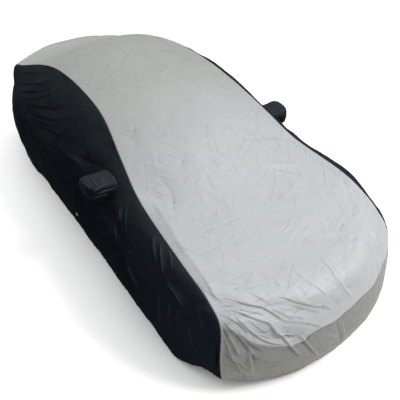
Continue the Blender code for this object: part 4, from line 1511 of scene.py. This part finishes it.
# %% Spin the eyelets
EYELET_PROFILE = [
    (0.00550, 0.0006), (0.00556, 0.0014), (0.00590, 0.0021), (0.00660, 0.0025), (0.00780, 0.0027),
    (0.00900, 0.0026), (0.01030, 0.0022), (0.01150, 0.0017), (0.01230, 0.0014), (0.01250, 0.0012),
    (0.01230, 0.0011), (0.01150, 0.0012), (0.00700, 0.0012), (0.00695, -0.0013), (0.01020, -0.0013),
    (0.01050, -0.0014), (0.01040, -0.0017), (0.00980, -0.0018), (0.00760, -0.0018), (0.00680, -0.0022),
    (0.00610, -0.0022), (0.00560, -0.0018),
]
EYELET_TURNS = 64


def eyelet_ring(name, axes):
    """The profile turned about the eyelet's axis, on the patch."""
    _, point, along, upward, normal = axes
    middle = point + (PATCH_LIFT - CLOTH / 2) * normal
    points, faces = [], []
    for turn in range(EYELET_TURNS):
        angle = 2 * math.pi * turn / EYELET_TURNS
        way = math.cos(angle) * along + math.sin(angle) * upward
        points += [middle + radius * way + height * normal for radius, height in EYELET_PROFILE]
    count = len(EYELET_PROFILE)
    for turn in range(EYELET_TURNS):
        here, there = turn * count, (turn + 1) % EYELET_TURNS * count
        for k in range(count):
            after = (k + 1) % count
            faces.append((here + k, here + after, there + after, there + k))
    ring = new_piece(name, points, faces)
    shape = bmesh.new()
    shape.from_mesh(ring.data)
    bmesh.ops.recalc_face_normals(shape, faces=shape.faces)
    shape.to_mesh(ring.data)
    shape.free()
    return ring


eyelets = {side: eyelet_ring("eyelet_ring_" + side, axes) for side, axes in places.items()}
print("eyelets", [triangles(ring) for ring in eyelets.values()], "triangles")

# %% [markdown]
# ## One way to add nodes
#
# Geometry Nodes, materials and the sky are all trees of nodes. One method adds a node to any of them: first
# its settings, because a setting can change which sockets there are, and then the value or the link of each
# socket.

# %% The Nodes class
class Nodes:
    """A tree of nodes, whose types' names may all begin with the same word."""

    def __init__(self, tree, word=""):
        self.tree, self.word = tree, word

    def node(self, kind, settings=None, sockets=None):
        """Adds a node: its settings first, then the values or links of its sockets."""
        node = self.tree.nodes.new(self.word + kind)
        for name, value in (settings or {}).items():
            setattr(node, name, value)
        for name, value in (sockets or {}).items():
            value = getattr(value, "socket", value)
            if isinstance(value, bpy.types.NodeSocket):
                self.tree.links.new(value, node.inputs[name])
            else:
                node.inputs[name].default_value = value
        return node


# %% [markdown]
# ## Lines of stitches
#
# A machine stitch every few millimetres holds the seams, the folded hems, the pockets and the patches.
# Thousands of small repeated things are a task for Geometry Nodes: the tree below walks along each line,
# sets a grain of thread on every step and turns it along the line. The grain has only a few faces, because
# there are so many.

# %% Build the stitch tree
STITCH_INPUTS = {
    "Lines": "Geometry", "Pitch": "Float", "Stitch Length": "Float", "Thread Radius": "Float",
    "Unevenness": "Float", "Seed": "Int", "Thread": "Material",
}


def stitch_nodes():
    """A tree that turns lines of edges into rows of stitches, and the identifiers of its inputs."""
    tree = bpy.data.node_groups.new("stitches", "GeometryNodeTree")
    sockets = {}
    for name, kind in STITCH_INPUTS.items():
        socket = tree.interface.new_socket(name, in_out="INPUT", socket_type="NodeSocket" + kind)
        sockets[name] = socket.identifier
    tree.interface.new_socket("Stitches", in_out="OUTPUT", socket_type="NodeSocketGeometry")
    add = Nodes(tree).node

    def maths(operation, first, second):
        return add("ShaderNodeMath", {"operation": operation}, {0: first, 1: second}).outputs[0]

    given = add("NodeGroupInput").outputs
    curve = add("GeometryNodeMeshToCurve", None, {"Mesh": given["Lines"]}).outputs[0]
    steps = add("GeometryNodeResampleCurve", {"mode": "LENGTH"}, {"Curve": curve, "Length": given["Pitch"]})
    tangent = add("GeometryNodeInputTangent").outputs[0]
    turned = add("FunctionNodeAlignRotationToVector", {"axis": "X"}, {"Vector": tangent}).outputs[0]
    grain = add("GeometryNodeMeshIcoSphere", None, {"Radius": 1.0, "Subdivisions": 1}).outputs["Mesh"]
    low = maths("SUBTRACT", 1.0, given["Unevenness"])
    high = maths("ADD", 1.0, given["Unevenness"])
    limits = {2: low, 3: high, "Seed": given["Seed"]}
    chance = add("FunctionNodeRandomValue", {"data_type": "FLOAT"}, limits).outputs[1]
    long = maths("MULTIPLY", maths("MULTIPLY", given["Stitch Length"], 0.5), chance)
    radius = given["Thread Radius"]
    size = add("ShaderNodeCombineXYZ", None, {0: long, 1: radius, 2: radius})
    placing = {"Points": steps.outputs[0], "Instance": grain, "Rotation": turned, "Scale": size.outputs[0]}
    set_out = add("GeometryNodeInstanceOnPoints", None, placing).outputs[0]
    real = add("GeometryNodeRealizeInstances", None, {"Geometry": set_out}).outputs[0]
    smooth = add("GeometryNodeSetShadeSmooth", None, {"Geometry": real}).outputs[0]
    threaded = {"Geometry": smooth, "Material": given["Thread"]}
    done = add("GeometryNodeSetMaterial", None, threaded).outputs[0]
    add("NodeGroupOutput", None, {0: done})
    return tree, sockets


stitches, stitch_sockets = stitch_nodes()
print("stitch tree", len(stitches.nodes), "nodes")

# %% [markdown]
# ## Where the stitches run
#
# A top stitch runs along both edges of the centre panel, a hem stitch a thumb's width above each hem, one
# row round each pocket's hole, and one round each patch. Every line lies on the finished cloth, a hair
# above it.

# %% Lines for the stitches
TOP_STITCH = 0.0072
HEM_STITCH = 0.022
POCKET_STITCH = 0.010
THREAD_LIFT = 0.00015
PATCH_LINE_POINTS = 160


def edge_line(panel, edge, distance):
    """A line on a panel at a distance from one of its edges, and whether it is closed."""
    grid, out, away = panel.points, panel.out, edge_distance(panel, edge)
    if "row" in edge:
        grid, out, away = grid.transpose(1, 0, 2), out.transpose(1, 0, 2), away.T
    if "last" in edge:
        grid, out, away = grid[:, ::-1], out[:, ::-1], away[:, ::-1]
    beyond = np.argmax(away >= distance, axis=1)
    rows = np.arange(len(grid))
    start, end = away[rows, beyond - 1], away[rows, beyond]
    t = ((distance - start) / (end - start))[:, None]
    line = (1 - t) * grid[rows, beyond - 1] + t * grid[rows, beyond]
    return line + THREAD_LIFT * out[rows, beyond], False


def patch_line(axes):
    """The square line of stitches on a patch."""
    side = PATCH_SIDE / 2 - STITCH_INSET
    flat = oval(side, side, PATCH_LINE_POINTS, PATCH_CORNER)[:-1]
    return np.array([on_patch(axes, u, v, PATCH_LIFT) for u, v in flat]), True


def pocket_line(panel):
    """The line of stitches round a pocket, just outside its hole."""
    row = int(np.argmax(panel.along[:, 0] > SEAM_ALLOWANCE + POCKET_STITCH))
    return (panel.points[row] + THREAD_LIFT * panel.out[row])[:-1], True


lines = {"centre": [edge_line(panels["centre"], edge, TOP_STITCH) for edge in SEWN["centre"]]}
lines["centre"] += [edge_line(panels["centre"], edge, HEM_STITCH) for edge in HEMMED["centre"]]
for side in SIGNS:
    lines[side] = [edge_line(panels[side], "last column", HEM_STITCH)]
    lines[side] += [patch_line(places[side]), pocket_line(pockets[side])]
print({name: sum(len(line) for line, _ in found) for name, found in lines.items()}, "points on the lines")

# %% [markdown]
# ## Materials written as sums
#
# A material's nodes are hard to read as a list of links. A small class wraps a socket, so that a sum or a
# product of two of them adds the Math node that works it out. A second one does the same for vectors and
# colours.

# %% The Paint, Value and Way classes
class Value:
    """A number that varies over the surface."""

    def __init__(self, paint, socket):
        self.paint, self.socket = paint, socket

    def math(self, operation, *values):
        node = self.paint.node("Math", {"operation": operation}, dict(enumerate(values)))
        return Value(self.paint, node.outputs[0])

    def __add__(self, other):
        return self.math("ADD", self, other)

    def __sub__(self, other):
        return self.math("SUBTRACT", self, other)

    def __rsub__(self, other):
        return self.math("SUBTRACT", other, self)

    def __mul__(self, other):
        return self.math("MULTIPLY", self, other)

    def __abs__(self):
        return self.math("ABSOLUTE", self)

    def sine(self):
        return self.math("SINE", self)

    def step(self, low, high):
        """0 below low, 1 above high, and a smooth way between."""
        sockets = {"Value": self, "From Min": low, "From Max": high}
        node = self.paint.node("MapRange", {"interpolation_type": "SMOOTHSTEP"}, sockets)
        return Value(self.paint, node.outputs[0])

    __radd__, __rmul__ = __add__, __mul__


class Way:
    """A vector or a colour that varies over the surface."""

    def __init__(self, paint, socket):
        self.paint, self.socket = paint, socket

    def math(self, operation, *values):
        node = self.paint.node("VectorMath", {"operation": operation}, dict(enumerate(values)))
        return Way(self.paint, node.outputs[0])

    def __add__(self, other):
        return self.math("ADD", self, other)

    def __mul__(self, other):
        return self.math("MULTIPLY", self, other)

    __radd__, __rmul__ = __add__, __mul__

    def parts(self):
        """The vector's three numbers."""
        node = self.paint.node("SeparateXYZ", None, {0: self})
        return [Value(self.paint, socket) for socket in node.outputs]


class Paint(Nodes):
    """One material: its node tree, its shader and the ways to add to them."""

    def __init__(self, name, **fixed):
        self.material = bpy.data.materials.new(name)
        self.material.use_nodes = True
        super().__init__(self.material.node_tree, "ShaderNode")
        self.shader = self.tree.nodes["Principled BSDF"]
        for socket, number in fixed.items():
            self.shader.inputs[socket.replace("_", " ")].default_value = number

    def flat(self):
        """The place on the flat cloth, in metres."""
        return Way(self, self.node("UVMap", {"uv_map": "cloth"}).outputs[0])

    def place(self):
        """The place in the part's own frame, in metres."""
        return Way(self, self.node("TexCoord").outputs["Object"])

    def noise(self, way, scale, detail=2.0, roughness=0.5):
        """Soft random spots of about one over the scale, in metres."""
        sockets = {"Vector": way, "Scale": scale, "Detail": detail, "Roughness": roughness}
        return Value(self, self.node("TexNoise", None, sockets).outputs[0])

    def drift(self, way, scale, amount):
        """The place moved by a smooth random vector of up to about half the amount."""
        colour = Way(self, self.node("TexNoise", None, {"Vector": way, "Scale": scale}).outputs[1])
        return way + (colour + (-0.5, -0.5, -0.5)) * (amount, amount, amount)

    def cracks(self, way, scale):
        """The distance to the nearest edge of a random net, in cells."""
        node = self.node("TexVoronoi", {"feature": "DISTANCE_TO_EDGE"}, {"Vector": way, "Scale": scale})
        return Value(self, node.outputs[0])

    def own(self, name):
        """A number that the piece's mesh carries under a name."""
        return Value(self, self.node("Attribute", {"attribute_name": name}).outputs["Fac"])

    def mix(self, share, first, second):
        """The first colour where the share is 0, and the second where it is 1."""
        node = self.node("Mix", {"data_type": "RGBA"}, {0: share, 6: first, 7: second})
        return Way(self, node.outputs[2])

    def bump(self, height, normal=None):
        """Presses a height in metres into the surface's normal."""
        sockets = {"Height": height, "Strength": 1.0, "Distance": 1.0}
        if normal is not None:
            sockets["Normal"] = normal
        return Way(self, self.node("Bump", None, sockets).outputs[0])

    def feed(self, **sockets):
        """Links what varies to the shader's sockets."""
        for name, value in sockets.items():
            self.tree.links.new(value.socket, self.shader.inputs[name.replace("_", " ")])
        return self.material


# %% [markdown]
# ## Weave, creases and ripples
#
# Some relief of the cloth is too fine for a mesh: its threads, the broken lines it was packed along, and
# soft ripples between the creases. They are heights that Bump turns into small tilts of the normal. An even
# noise would look like stone, so the creases are the edges of a random net, or lines that wander, with gaps
# in them.

# %% Weave, creases and ripples
WEAVE_PITCH = 0.0011
WEAVE_HEIGHT = 0.00004


def weave(flat, pitch, height):
    """The height of a plain weave: threads pass over and under each other like a chessboard."""
    across, along, _ = (flat * (math.pi / pitch, math.pi / pitch, 0)).parts()
    return across.sine() * along.sine() * height


def crumple(paint, flat, cell, stretch, width, height, seed):
    """Sharp broken creases, as in coated cloth that was packed: the edges of a drifting net, with gaps."""
    moved = paint.drift(flat + (seed, -seed, seed), 0.6 / cell, 0.5 * cell) * (1.0, stretch, 1.0)
    edge = paint.cracks(moved, 1 / cell) * cell
    gaps = paint.noise(flat + (-seed, seed, 0), 0.8 / cell, 1.0).step(0.46, 0.66)
    return (1 - edge.step(0, width)) * gaps * height


def ripples(paint, flat, angle, scale, stretch, width, seed):
    """Soft wandering wrinkles that run mostly one way, from 0 to 1: where a stretched noise passes 0.5."""
    c, n = math.cos(math.radians(angle)), math.sin(math.radians(angle))
    x, y, _ = flat.parts()
    parts = {0: (x * c + y * n) * stretch, 1: y * c - x * n, 2: seed}
    turned = Way(paint, paint.node("CombineXYZ", None, parts).outputs[0])
    away = abs(paint.noise(turned, scale, 0.0) - 0.5)
    gaps = paint.noise(flat + (seed, seed, 0), 4.0, 1.0).step(0.48, 0.64)
    return (1 - away.step(0.0, width)) * gaps


def long_creases(paint, flat, angle, spacing, width, height, seed):
    """Long thin creases that run mostly one way: a row of lines that wander, broken by gaps along them."""
    c, n = math.cos(math.radians(angle)), math.sin(math.radians(angle))
    x, y, _ = paint.drift(flat, 1.1, 1.6 * spacing).parts()
    across = x * -n + y * c + seed
    along = x * c + y * n
    broken = paint.node("CombineXYZ", None, {0: along * 0.35, 1: across, 2: seed}).outputs[0]
    gaps = paint.noise(Way(paint, broken), 5.5, 1.0).step(0.50, 0.62)
    away = across.math("PINGPONG", across, spacing / 2)
    return (1 - away.step(0, width)) * gaps * height


# %% [markdown]
# ## The silver cloth
#
# The top is polyester with a silver coating on the outside. The coating is worn and almost matt, so it is
# only a little metallic. Its tone is cooler and lighter on the bonnet, a painted reflection of the sky, and
# darker and warmer towards the back and the bumper, a painted shade, mixed with random clouds of tone, and
# pale at the tail. The hollows of the creases get painted shade and their ridges painted highlights, by the
# numbers that the mesh carries, the cloth below the bonnet's edge gets painted shade, and dust gathers near
# the hem.

# %% Tones of the silver cloth
# A cooler, lighter silver for the painted sky reflection on the bonnet, and a darker, warmer one for painted
# shade behind and low down.
COOL_LIT_SILVER, WARM_SHADED_SILVER = (0.316, 0.322, 0.334, 1), (0.276, 0.277, 0.262, 1)
TAIL_SILVER, SHADE_GREY = (0.350, 0.351, 0.330, 1), (0.108, 0.106, 0.093, 1)
# Colours of the painted shade in crease hollows and of the painted highlight on crease ridges.
CREASE_SHADE_GREY, RIDGE_HIGHLIGHT_GREY = (0.048, 0.049, 0.048, 1), (0.50, 0.505, 0.51, 1)
GRIME, WORN_GREY = (0.20, 0.19, 0.165, 1), (0.24, 0.24, 0.24, 1)

silver = Paint("silver_cloth", Metallic=0.07, Specular_IOR_Level=0.25)
flat, place = silver.flat(), silver.place()
_, back, up = place.parts()
clouds = silver.noise(place, 1.7, 3.0)
fine = silver.noise(place, 38.0, 3.0, 0.6)
crest_painted_shade, fold = silver.own("below_crest"), silver.own("fold")
# Painted light and shade: darker and warmer towards the back and low down, cooler and lighter on the bonnet;
# the clouds add random tone.
painted_shade_and_tone = (back.step(-1.3, 0.1) * 0.8 + (1 - up.step(0.25, 0.62)) * 0.9 + (clouds - 0.5) * 0.6).step(0, 1)
grime = (1 - up.step(0.0, 0.30)) * fine.step(0.35, 0.75)
worn = clouds.step(0.35, 0.75) * 0.5 + fine.step(0.4, 0.8) * 0.3
tone = silver.mix(painted_shade_and_tone, COOL_LIT_SILVER, WARM_SHADED_SILVER)
tone = silver.mix(back.step(0.9, 2.0) * 0.6, tone, TAIL_SILVER)
# Painted shade below the bonnet's edge and on the band beside the near shoulder.
tone = silver.mix(crest_painted_shade * 0.64, tone, SHADE_GREY)
# Painted shade in the hollows of the creases and painted highlights on their ridges, from the mesh's fold
# numbers.
tone = silver.mix(fold.step(0.03, 0.8) * 0.50, tone, CREASE_SHADE_GREY)
tone = silver.mix((fold * -1).step(0.05, 0.9) * (1 - crest_painted_shade * 0.55) * 0.36, tone, RIDGE_HIGHLIGHT_GREY)
tone = silver.mix(grime * 0.35, tone, GRIME)
tone = silver.mix(worn * 0.10, tone, WORN_GREY)
print("silver cloth", len(silver.tree.nodes), "nodes for its tone")

# %% [markdown]
# ## The relief of the silver cloth
#
# Four sets of ripples and three of long creases cross each other at different angles. A ripple also gets
# painted shade where it is a trough and a painted highlight where it is a ridge, so that it shows where the
# light is flat.

# %% Relief of the silver cloth
RIPPLE_SHADE = 0.085
RIPPLE_STRETCH = 0.22
# Colours of the painted shade in ripple troughs and of the painted highlight on ripple ridges.
RIPPLE_PAINTED_SHADE, RIPPLE_PAINTED_HIGHLIGHT = (0.13, 0.13, 0.13, 1), (0.46, 0.465, 0.47, 1)
RIPPLES = (
    (28, 10, 0.040, -0.0020, 2.2),
    (74, 14, 0.050, -0.0015, 9.1),
    (-38, 12, 0.045, 0.0018, 4.4),
    (8, 17, 0.055, 0.0012, 6.3),
)
LONG_CREASES = ((24, 0.13, 0.0014, 3.1), (68, 0.17, -0.0012, 7.7), (-52, 0.16, 0.0012, 1.4))
LONG_CREASE_WIDTH = 0.0050

relief = crumple(silver, flat, 0.21, 0.7, 0.0045, -0.0007, 0.0)
for angle, scale, width, height, seed in RIPPLES:
    ripples_here = ripples(silver, flat, angle, scale, RIPPLE_STRETCH, width, seed)
    relief += ripples_here * height
    # Painted shade in each ripple's troughs and painted highlights on its ridges.
    tone = silver.mix(ripples_here * RIPPLE_SHADE, tone, RIPPLE_PAINTED_SHADE if height < 0 else RIPPLE_PAINTED_HIGHLIGHT)
for angle, spacing, height, seed in LONG_CREASES:
    relief += long_creases(silver, flat, angle, spacing, LONG_CREASE_WIDTH, height, seed)
relief += silver.noise(flat, 22.0, 2.0) * 0.0007
normal = silver.bump(weave(flat, WEAVE_PITCH, WEAVE_HEIGHT), silver.bump(relief))
silver.feed(Base_Color=tone, Roughness=0.50 + fine * 0.10 + grime * 0.20, Normal=normal)
print("silver cloth", len(silver.tree.nodes), "nodes in all")

# %% [markdown]
# ## The black cloth
#
# The sides are the same polyester, dyed black. Black cloth has almost no shade of its own, so what tells
# its form is painted light: cloth that faces up is painted lighter and upright cloth darker, and a little
# dust lies low down and in patches on the upward cloth. The front of the side is painted a little lighter
# and bluer, a painted sheen. Hollows get painted shade and ridges painted highlights, as on the top. The
# gloss is nearly off, because at low angles it would mirror the pale floor and turn the foot of the side
# grey.

# %% Paint the black cloth
# Painted light and shade of the black cloth: a darker black for upright cloth and for hollows, a lighter blue
# sheen for the front.
UPRIGHT_SHADED_BLACK, CREASE_SHADE_BLACK = (0.0038, 0.0044, 0.0066, 1), (0.0012, 0.0014, 0.0020, 1)
FRONT_BLUE_SHEEN, DUST = (0.0140, 0.0165, 0.0250, 1), (0.016, 0.016, 0.0155, 1)
BLACK_ROUGHNESS = 0.42
COARSE_PITCH = 0.0016


def black_cloth(name, tone, ridge, gloss, pitch=WEAVE_PITCH):
    """Black coated polyester with a weave, small creases, clouds, dust and painted light, shade and sheen."""
    paint = Paint(name, IOR=gloss)
    flat, place = paint.flat(), paint.place()
    _, back, up = place.parts()
    fine = paint.noise(place, 45.0, 3.0, 0.6)
    clouds = paint.noise(place, 3.1, 2.0)
    dusty = (1 - up.step(0.0, 0.22)) * fine.step(0.3, 0.8) * 0.5 + fine.step(0.5, 1.0) * 0.12
    upward_painted_light, fold = paint.own("upward").step(0.16, 1.10), paint.own("fold")
    # Painted light: cloth that faces up is painted in the lighter tone, upright cloth in the darker black.
    colour = paint.mix(upward_painted_light, UPRIGHT_SHADED_BLACK, tone)
    # Painted sheen: the front of the side is painted lighter and bluer.
    colour = paint.mix((1 - back.step(-2.0, -1.0)) * 0.38, colour, FRONT_BLUE_SHEEN)
    colour = paint.mix(dusty + clouds.step(0.45, 0.8) * upward_painted_light * 0.15, colour, DUST)
    # Painted shade in the hollows of the creases and painted highlights on their ridges, stronger where the
    # cloth faces up.
    colour = paint.mix(fold.step(0.05, 0.8) * 0.8, colour, CREASE_SHADE_BLACK)
    colour = paint.mix((fold * -1).step(0.08, 0.9) * (0.36 + upward_painted_light * 0.5), colour, ridge)
    relief = crumple(paint, flat, 0.15, 1.0, 0.0055, 0.0008, 2.3) + paint.noise(flat, 26.0, 2.0) * 0.0009
    relief += long_creases(paint, flat, 8, 0.12, 0.0060, 0.0016, 5.2)
    normal = paint.bump(weave(flat, pitch, WEAVE_HEIGHT), paint.bump(relief))
    print(name, len(paint.tree.nodes), "nodes")
    return paint.feed(Base_Color=colour, Roughness=BLACK_ROUGHNESS + clouds * 0.14, Normal=normal)


# Painted highlight colours for the ridges of the side's and the pocket's creases.
RIDGE_HIGHLIGHT_BLACK, POCKET_RIDGE_HIGHLIGHT = (0.033, 0.038, 0.048, 1), (0.046, 0.052, 0.057, 1)
side_black = black_cloth("black_cloth", (0.0150, 0.0174, 0.0196, 1), RIDGE_HIGHLIGHT_BLACK, 1.008)
# The pocket's tone for cloth that faces up is lighter than the side's: painted light on its lit top.
pocket_black = black_cloth("pocket_cloth", (0.0200, 0.0236, 0.0272, 1), POCKET_RIDGE_HIGHLIGHT, 1.03)
patch_black = black_cloth("patch_cloth", (0.0045, 0.0050, 0.0062, 1), RIDGE_HIGHLIGHT_BLACK, 1.03, COARSE_PITCH)

# %% [markdown]
# ## Thread and nickel
#
# Sewing thread is two strands twisted together, so fine slanting lines run round it. The eyelet's nickel is
# smooth where straps rub it and dull in its corners, with faint rings from the press; its paint has random
# dull, rougher spots and a faint grain.

# %% Paint the thread and the nickel
def thread(name, tone, shade):
    """Twisted sewing thread."""
    paint = Paint(name, Specular_IOR_Level=0.2)
    place = paint.place()
    back, up = place.parts()[1:]
    twist = ((back + up) * 9000.0).sine()
    colour = paint.mix(paint.noise(place, 300.0), tone, shade)
    return paint.feed(Base_Color=colour, Normal=paint.bump(twist * 0.00004), Roughness=0.6 + twist * 0.08)


grey_thread = thread("grey_thread", (0.30, 0.305, 0.31, 1), (0.22, 0.22, 0.22, 1))
black_thread = thread("black_thread", (0.006, 0.006, 0.008, 1), (0.014, 0.014, 0.016, 1))
nickel = Paint("nickel", Metallic=1.0)
place = nickel.place()
spots, grain = nickel.noise(place, 260.0, 3.0), nickel.noise(place, 1400.0)
tone = nickel.mix(spots.step(0.45, 0.75), (0.70, 0.68, 0.64, 1), (0.42, 0.39, 0.34, 1))
nickel = nickel.feed(Base_Color=tone, Roughness=0.22 + spots * 0.25, Normal=nickel.bump(grain * 0.00003))

# %% [markdown]
# ## Sew the lines
#
# The tree's inputs are set by their identifiers before it runs for the first time. Its result is taken as a
# plain mesh, one for each sheet's own thread, and the object that carried the tree is removed.

# %% Sew the lines
STITCH = {"Pitch": 0.0050, "Stitch Length": 0.0041, "Thread Radius": 0.00042, "Unevenness": 0.12}


def sew(name, lines, material, seed):
    """Rows of stitches along lines of points, as one plain mesh."""
    points, edges = [], []
    for line, closed in lines:
        first = len(points)
        points += line.tolist()
        edges += [(first + k, first + k + 1) for k in range(len(line) - 1)]
        if closed:
            edges.append((len(points) - 1, first))
    mesh = bpy.data.meshes.new(name)
    mesh.from_pydata(points, edges, [])
    carrier = new_object(name + "_lines", mesh)
    modifier = carrier.modifiers.new("stitches", "NODES")
    modifier.node_group = stitches
    for socket, value in {**STITCH, "Seed": seed, "Thread": material}.items():
        modifier[stitch_sockets[socket]] = value
    graph = bpy.context.evaluated_depsgraph_get()
    sewn = bpy.data.meshes.new_from_object(carrier.evaluated_get(graph))
    bpy.data.objects.remove(carrier)
    sewn.name = name
    return new_object(name, sewn)


rows = {}
for number, (name, found) in enumerate(lines.items()):
    yarn = grey_thread if name == "centre" else black_thread
    rows[name] = sew(name + "_stitches", found, yarn, SEED + number)
    print(rows[name].name, triangles(rows[name]), "triangles")

# %% [markdown]
# ## Hand the pieces to the frame
#
# Each piece gets its finish, rides on the cover's one body and hides the plain solid that it stands for. The
# stitches stand for none.

# %% Ride and replace
def hand_in(piece, slot, node=None):
    """Lets a piece ride on the cover's body and hides the solid that it stands for. The slot is not used."""
    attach(piece, "root")
    if node:
        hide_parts(node)


FINISHES = {
    "side": (side_black, "black_cloth", "side_panel_"),
    "pocket": (pocket_black, "pocket_cloth", "mirror_pocket_"),
    "patch": (patch_black, "patch_cloth", "eyelet_patch_"),
}
sheets["centre"].data.materials.append(silver.material)
hand_in(sheets["centre"], "silver_cloth", "centre_panel")
for kind, (finish, slot, node) in FINISHES.items():
    for side in SIGNS:
        sheet = sheets[side if kind == "side" else kind + "_" + side]
        sheet.data.materials.append(finish)
        hand_in(sheet, slot, node + side)
for name, row in rows.items():
    hand_in(row, "silver_cloth" if name == "centre" else "black_cloth")
for side, ring in eyelets.items():
    ring.data.materials.append(nickel)
    hand_in(ring, "nickel", "eyelet_" + side)
print("handed in", len(sheets) + len(rows) + len(eyelets), "pieces")

Cut = namedtuple("Cut", "width length area held")


for side in SIGNS:
    "pocket_" + side
for side in SIGNS:
    "patch_" + side
print("declared", len(sheets), "sheets")

# %% [markdown]
# ## The floor
#
# The photograph has a plain white ground. A large pale square lies just below the hem and takes a soft
# shadow.

# %% Make the floor
FLOOR_SIDE = 60.0
FLOOR_DROP = 0.002
PALE, PALER = (0.93, 0.915, 0.89, 1), (0.95, 0.94, 0.92, 1)
half = FLOOR_SIDE / 2
corners = [(x, y, -FLOOR_DROP) for x, y in ((-half, -half), (half, -half), (half, half), (-half, half))]
floor_mesh = bpy.data.meshes.new("floor")
floor_mesh.from_pydata(corners, [], [(0, 1, 2, 3)])
floor = new_object("floor", floor_mesh)
ground = Paint("floor", Roughness=0.9, Specular_IOR_Level=0.0)
ground_tone = ground.mix(ground.noise(ground.place(), 0.7), PALE, PALER)
floor.data.materials.append(ground.feed(Base_Color=ground_tone))
floor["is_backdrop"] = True
print("floor", FLOOR_SIDE, "m wide")

# %% [markdown]
# ## The light
#
# The light is even and comes from above, brightest over the bonnet. A wide key lamp hangs there, on the far
# side, so that the near shoulder and the bumper fall into a soft shade, and a weaker one behind the near
# corner lifts the rear quarter. The room gives the rest: bright overhead and dim at its walls. The camera
# sees plain white behind the floor.

# %% Hang the lamps and light the room
Lamp = namedtuple("Lamp", "name place aim side power colour")
LAMPS = (
    Lamp("key lamp", (2.4, -4.2, 5.2), (0.1, -1.3, 0.8), 1.6, 300.0, (1.0, 0.985, 0.96)),
    Lamp("fill lamp", (-3.6, 4.6, 3.4), (-0.2, 1.3, 0.9), 2.4, 85.0, (1.0, 1.0, 1.0)),
)
SKY_TOP = 1.75
SKY_RIM = 0.19
SKY_COLOUR = (0.955, 0.98, 1.0, 1.0)
for hung in LAMPS:
    light = bpy.data.lights.new(hung.name, "AREA")
    light.shape, light.size, light.energy, light.color = "SQUARE", hung.side, hung.power, hung.colour
    turn = (Vector(hung.aim) - Vector(hung.place)).to_track_quat("-Z", "Y")
    new_object(hung.name, light).matrix_world = Matrix.Translation(hung.place) @ turn.to_matrix().to_4x4()

world = bpy.data.worlds.new("studio")
world.use_nodes = True
bpy.context.scene.world = world
bpy.context.scene.view_settings.view_transform = "Standard"
sky = Nodes(world.node_tree, "ShaderNode")
up = Way(sky, sky.node("TexCoord").outputs["Generated"]).parts()[2]
up = up.math("MAXIMUM", up, 0.0)
room = sky.node("Background", None, {"Color": SKY_COLOUR, "Strength": up * up * SKY_TOP + SKY_RIM})
white = sky.tree.nodes["Background"]
white.inputs["Color"].default_value = (1, 1, 1, 1)
seen = sky.node("LightPath").outputs["Is Camera Ray"]
chosen = sky.node("MixShader", None, {"Fac": seen, 1: room.outputs[0], 2: white.outputs[0]})
sky.tree.links.new(chosen.outputs[0], sky.tree.nodes["World Output"].inputs["Surface"])
print("lamps", [hung.name for hung in LAMPS])

# %% [markdown]
# ## Measure
#
# The box of the visible cover should be that of the plain solids, give or take a few millimetres of crease.

# %% Measure
low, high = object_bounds()
print("visual box", [round(x, 3) for x in (*low, *high)])
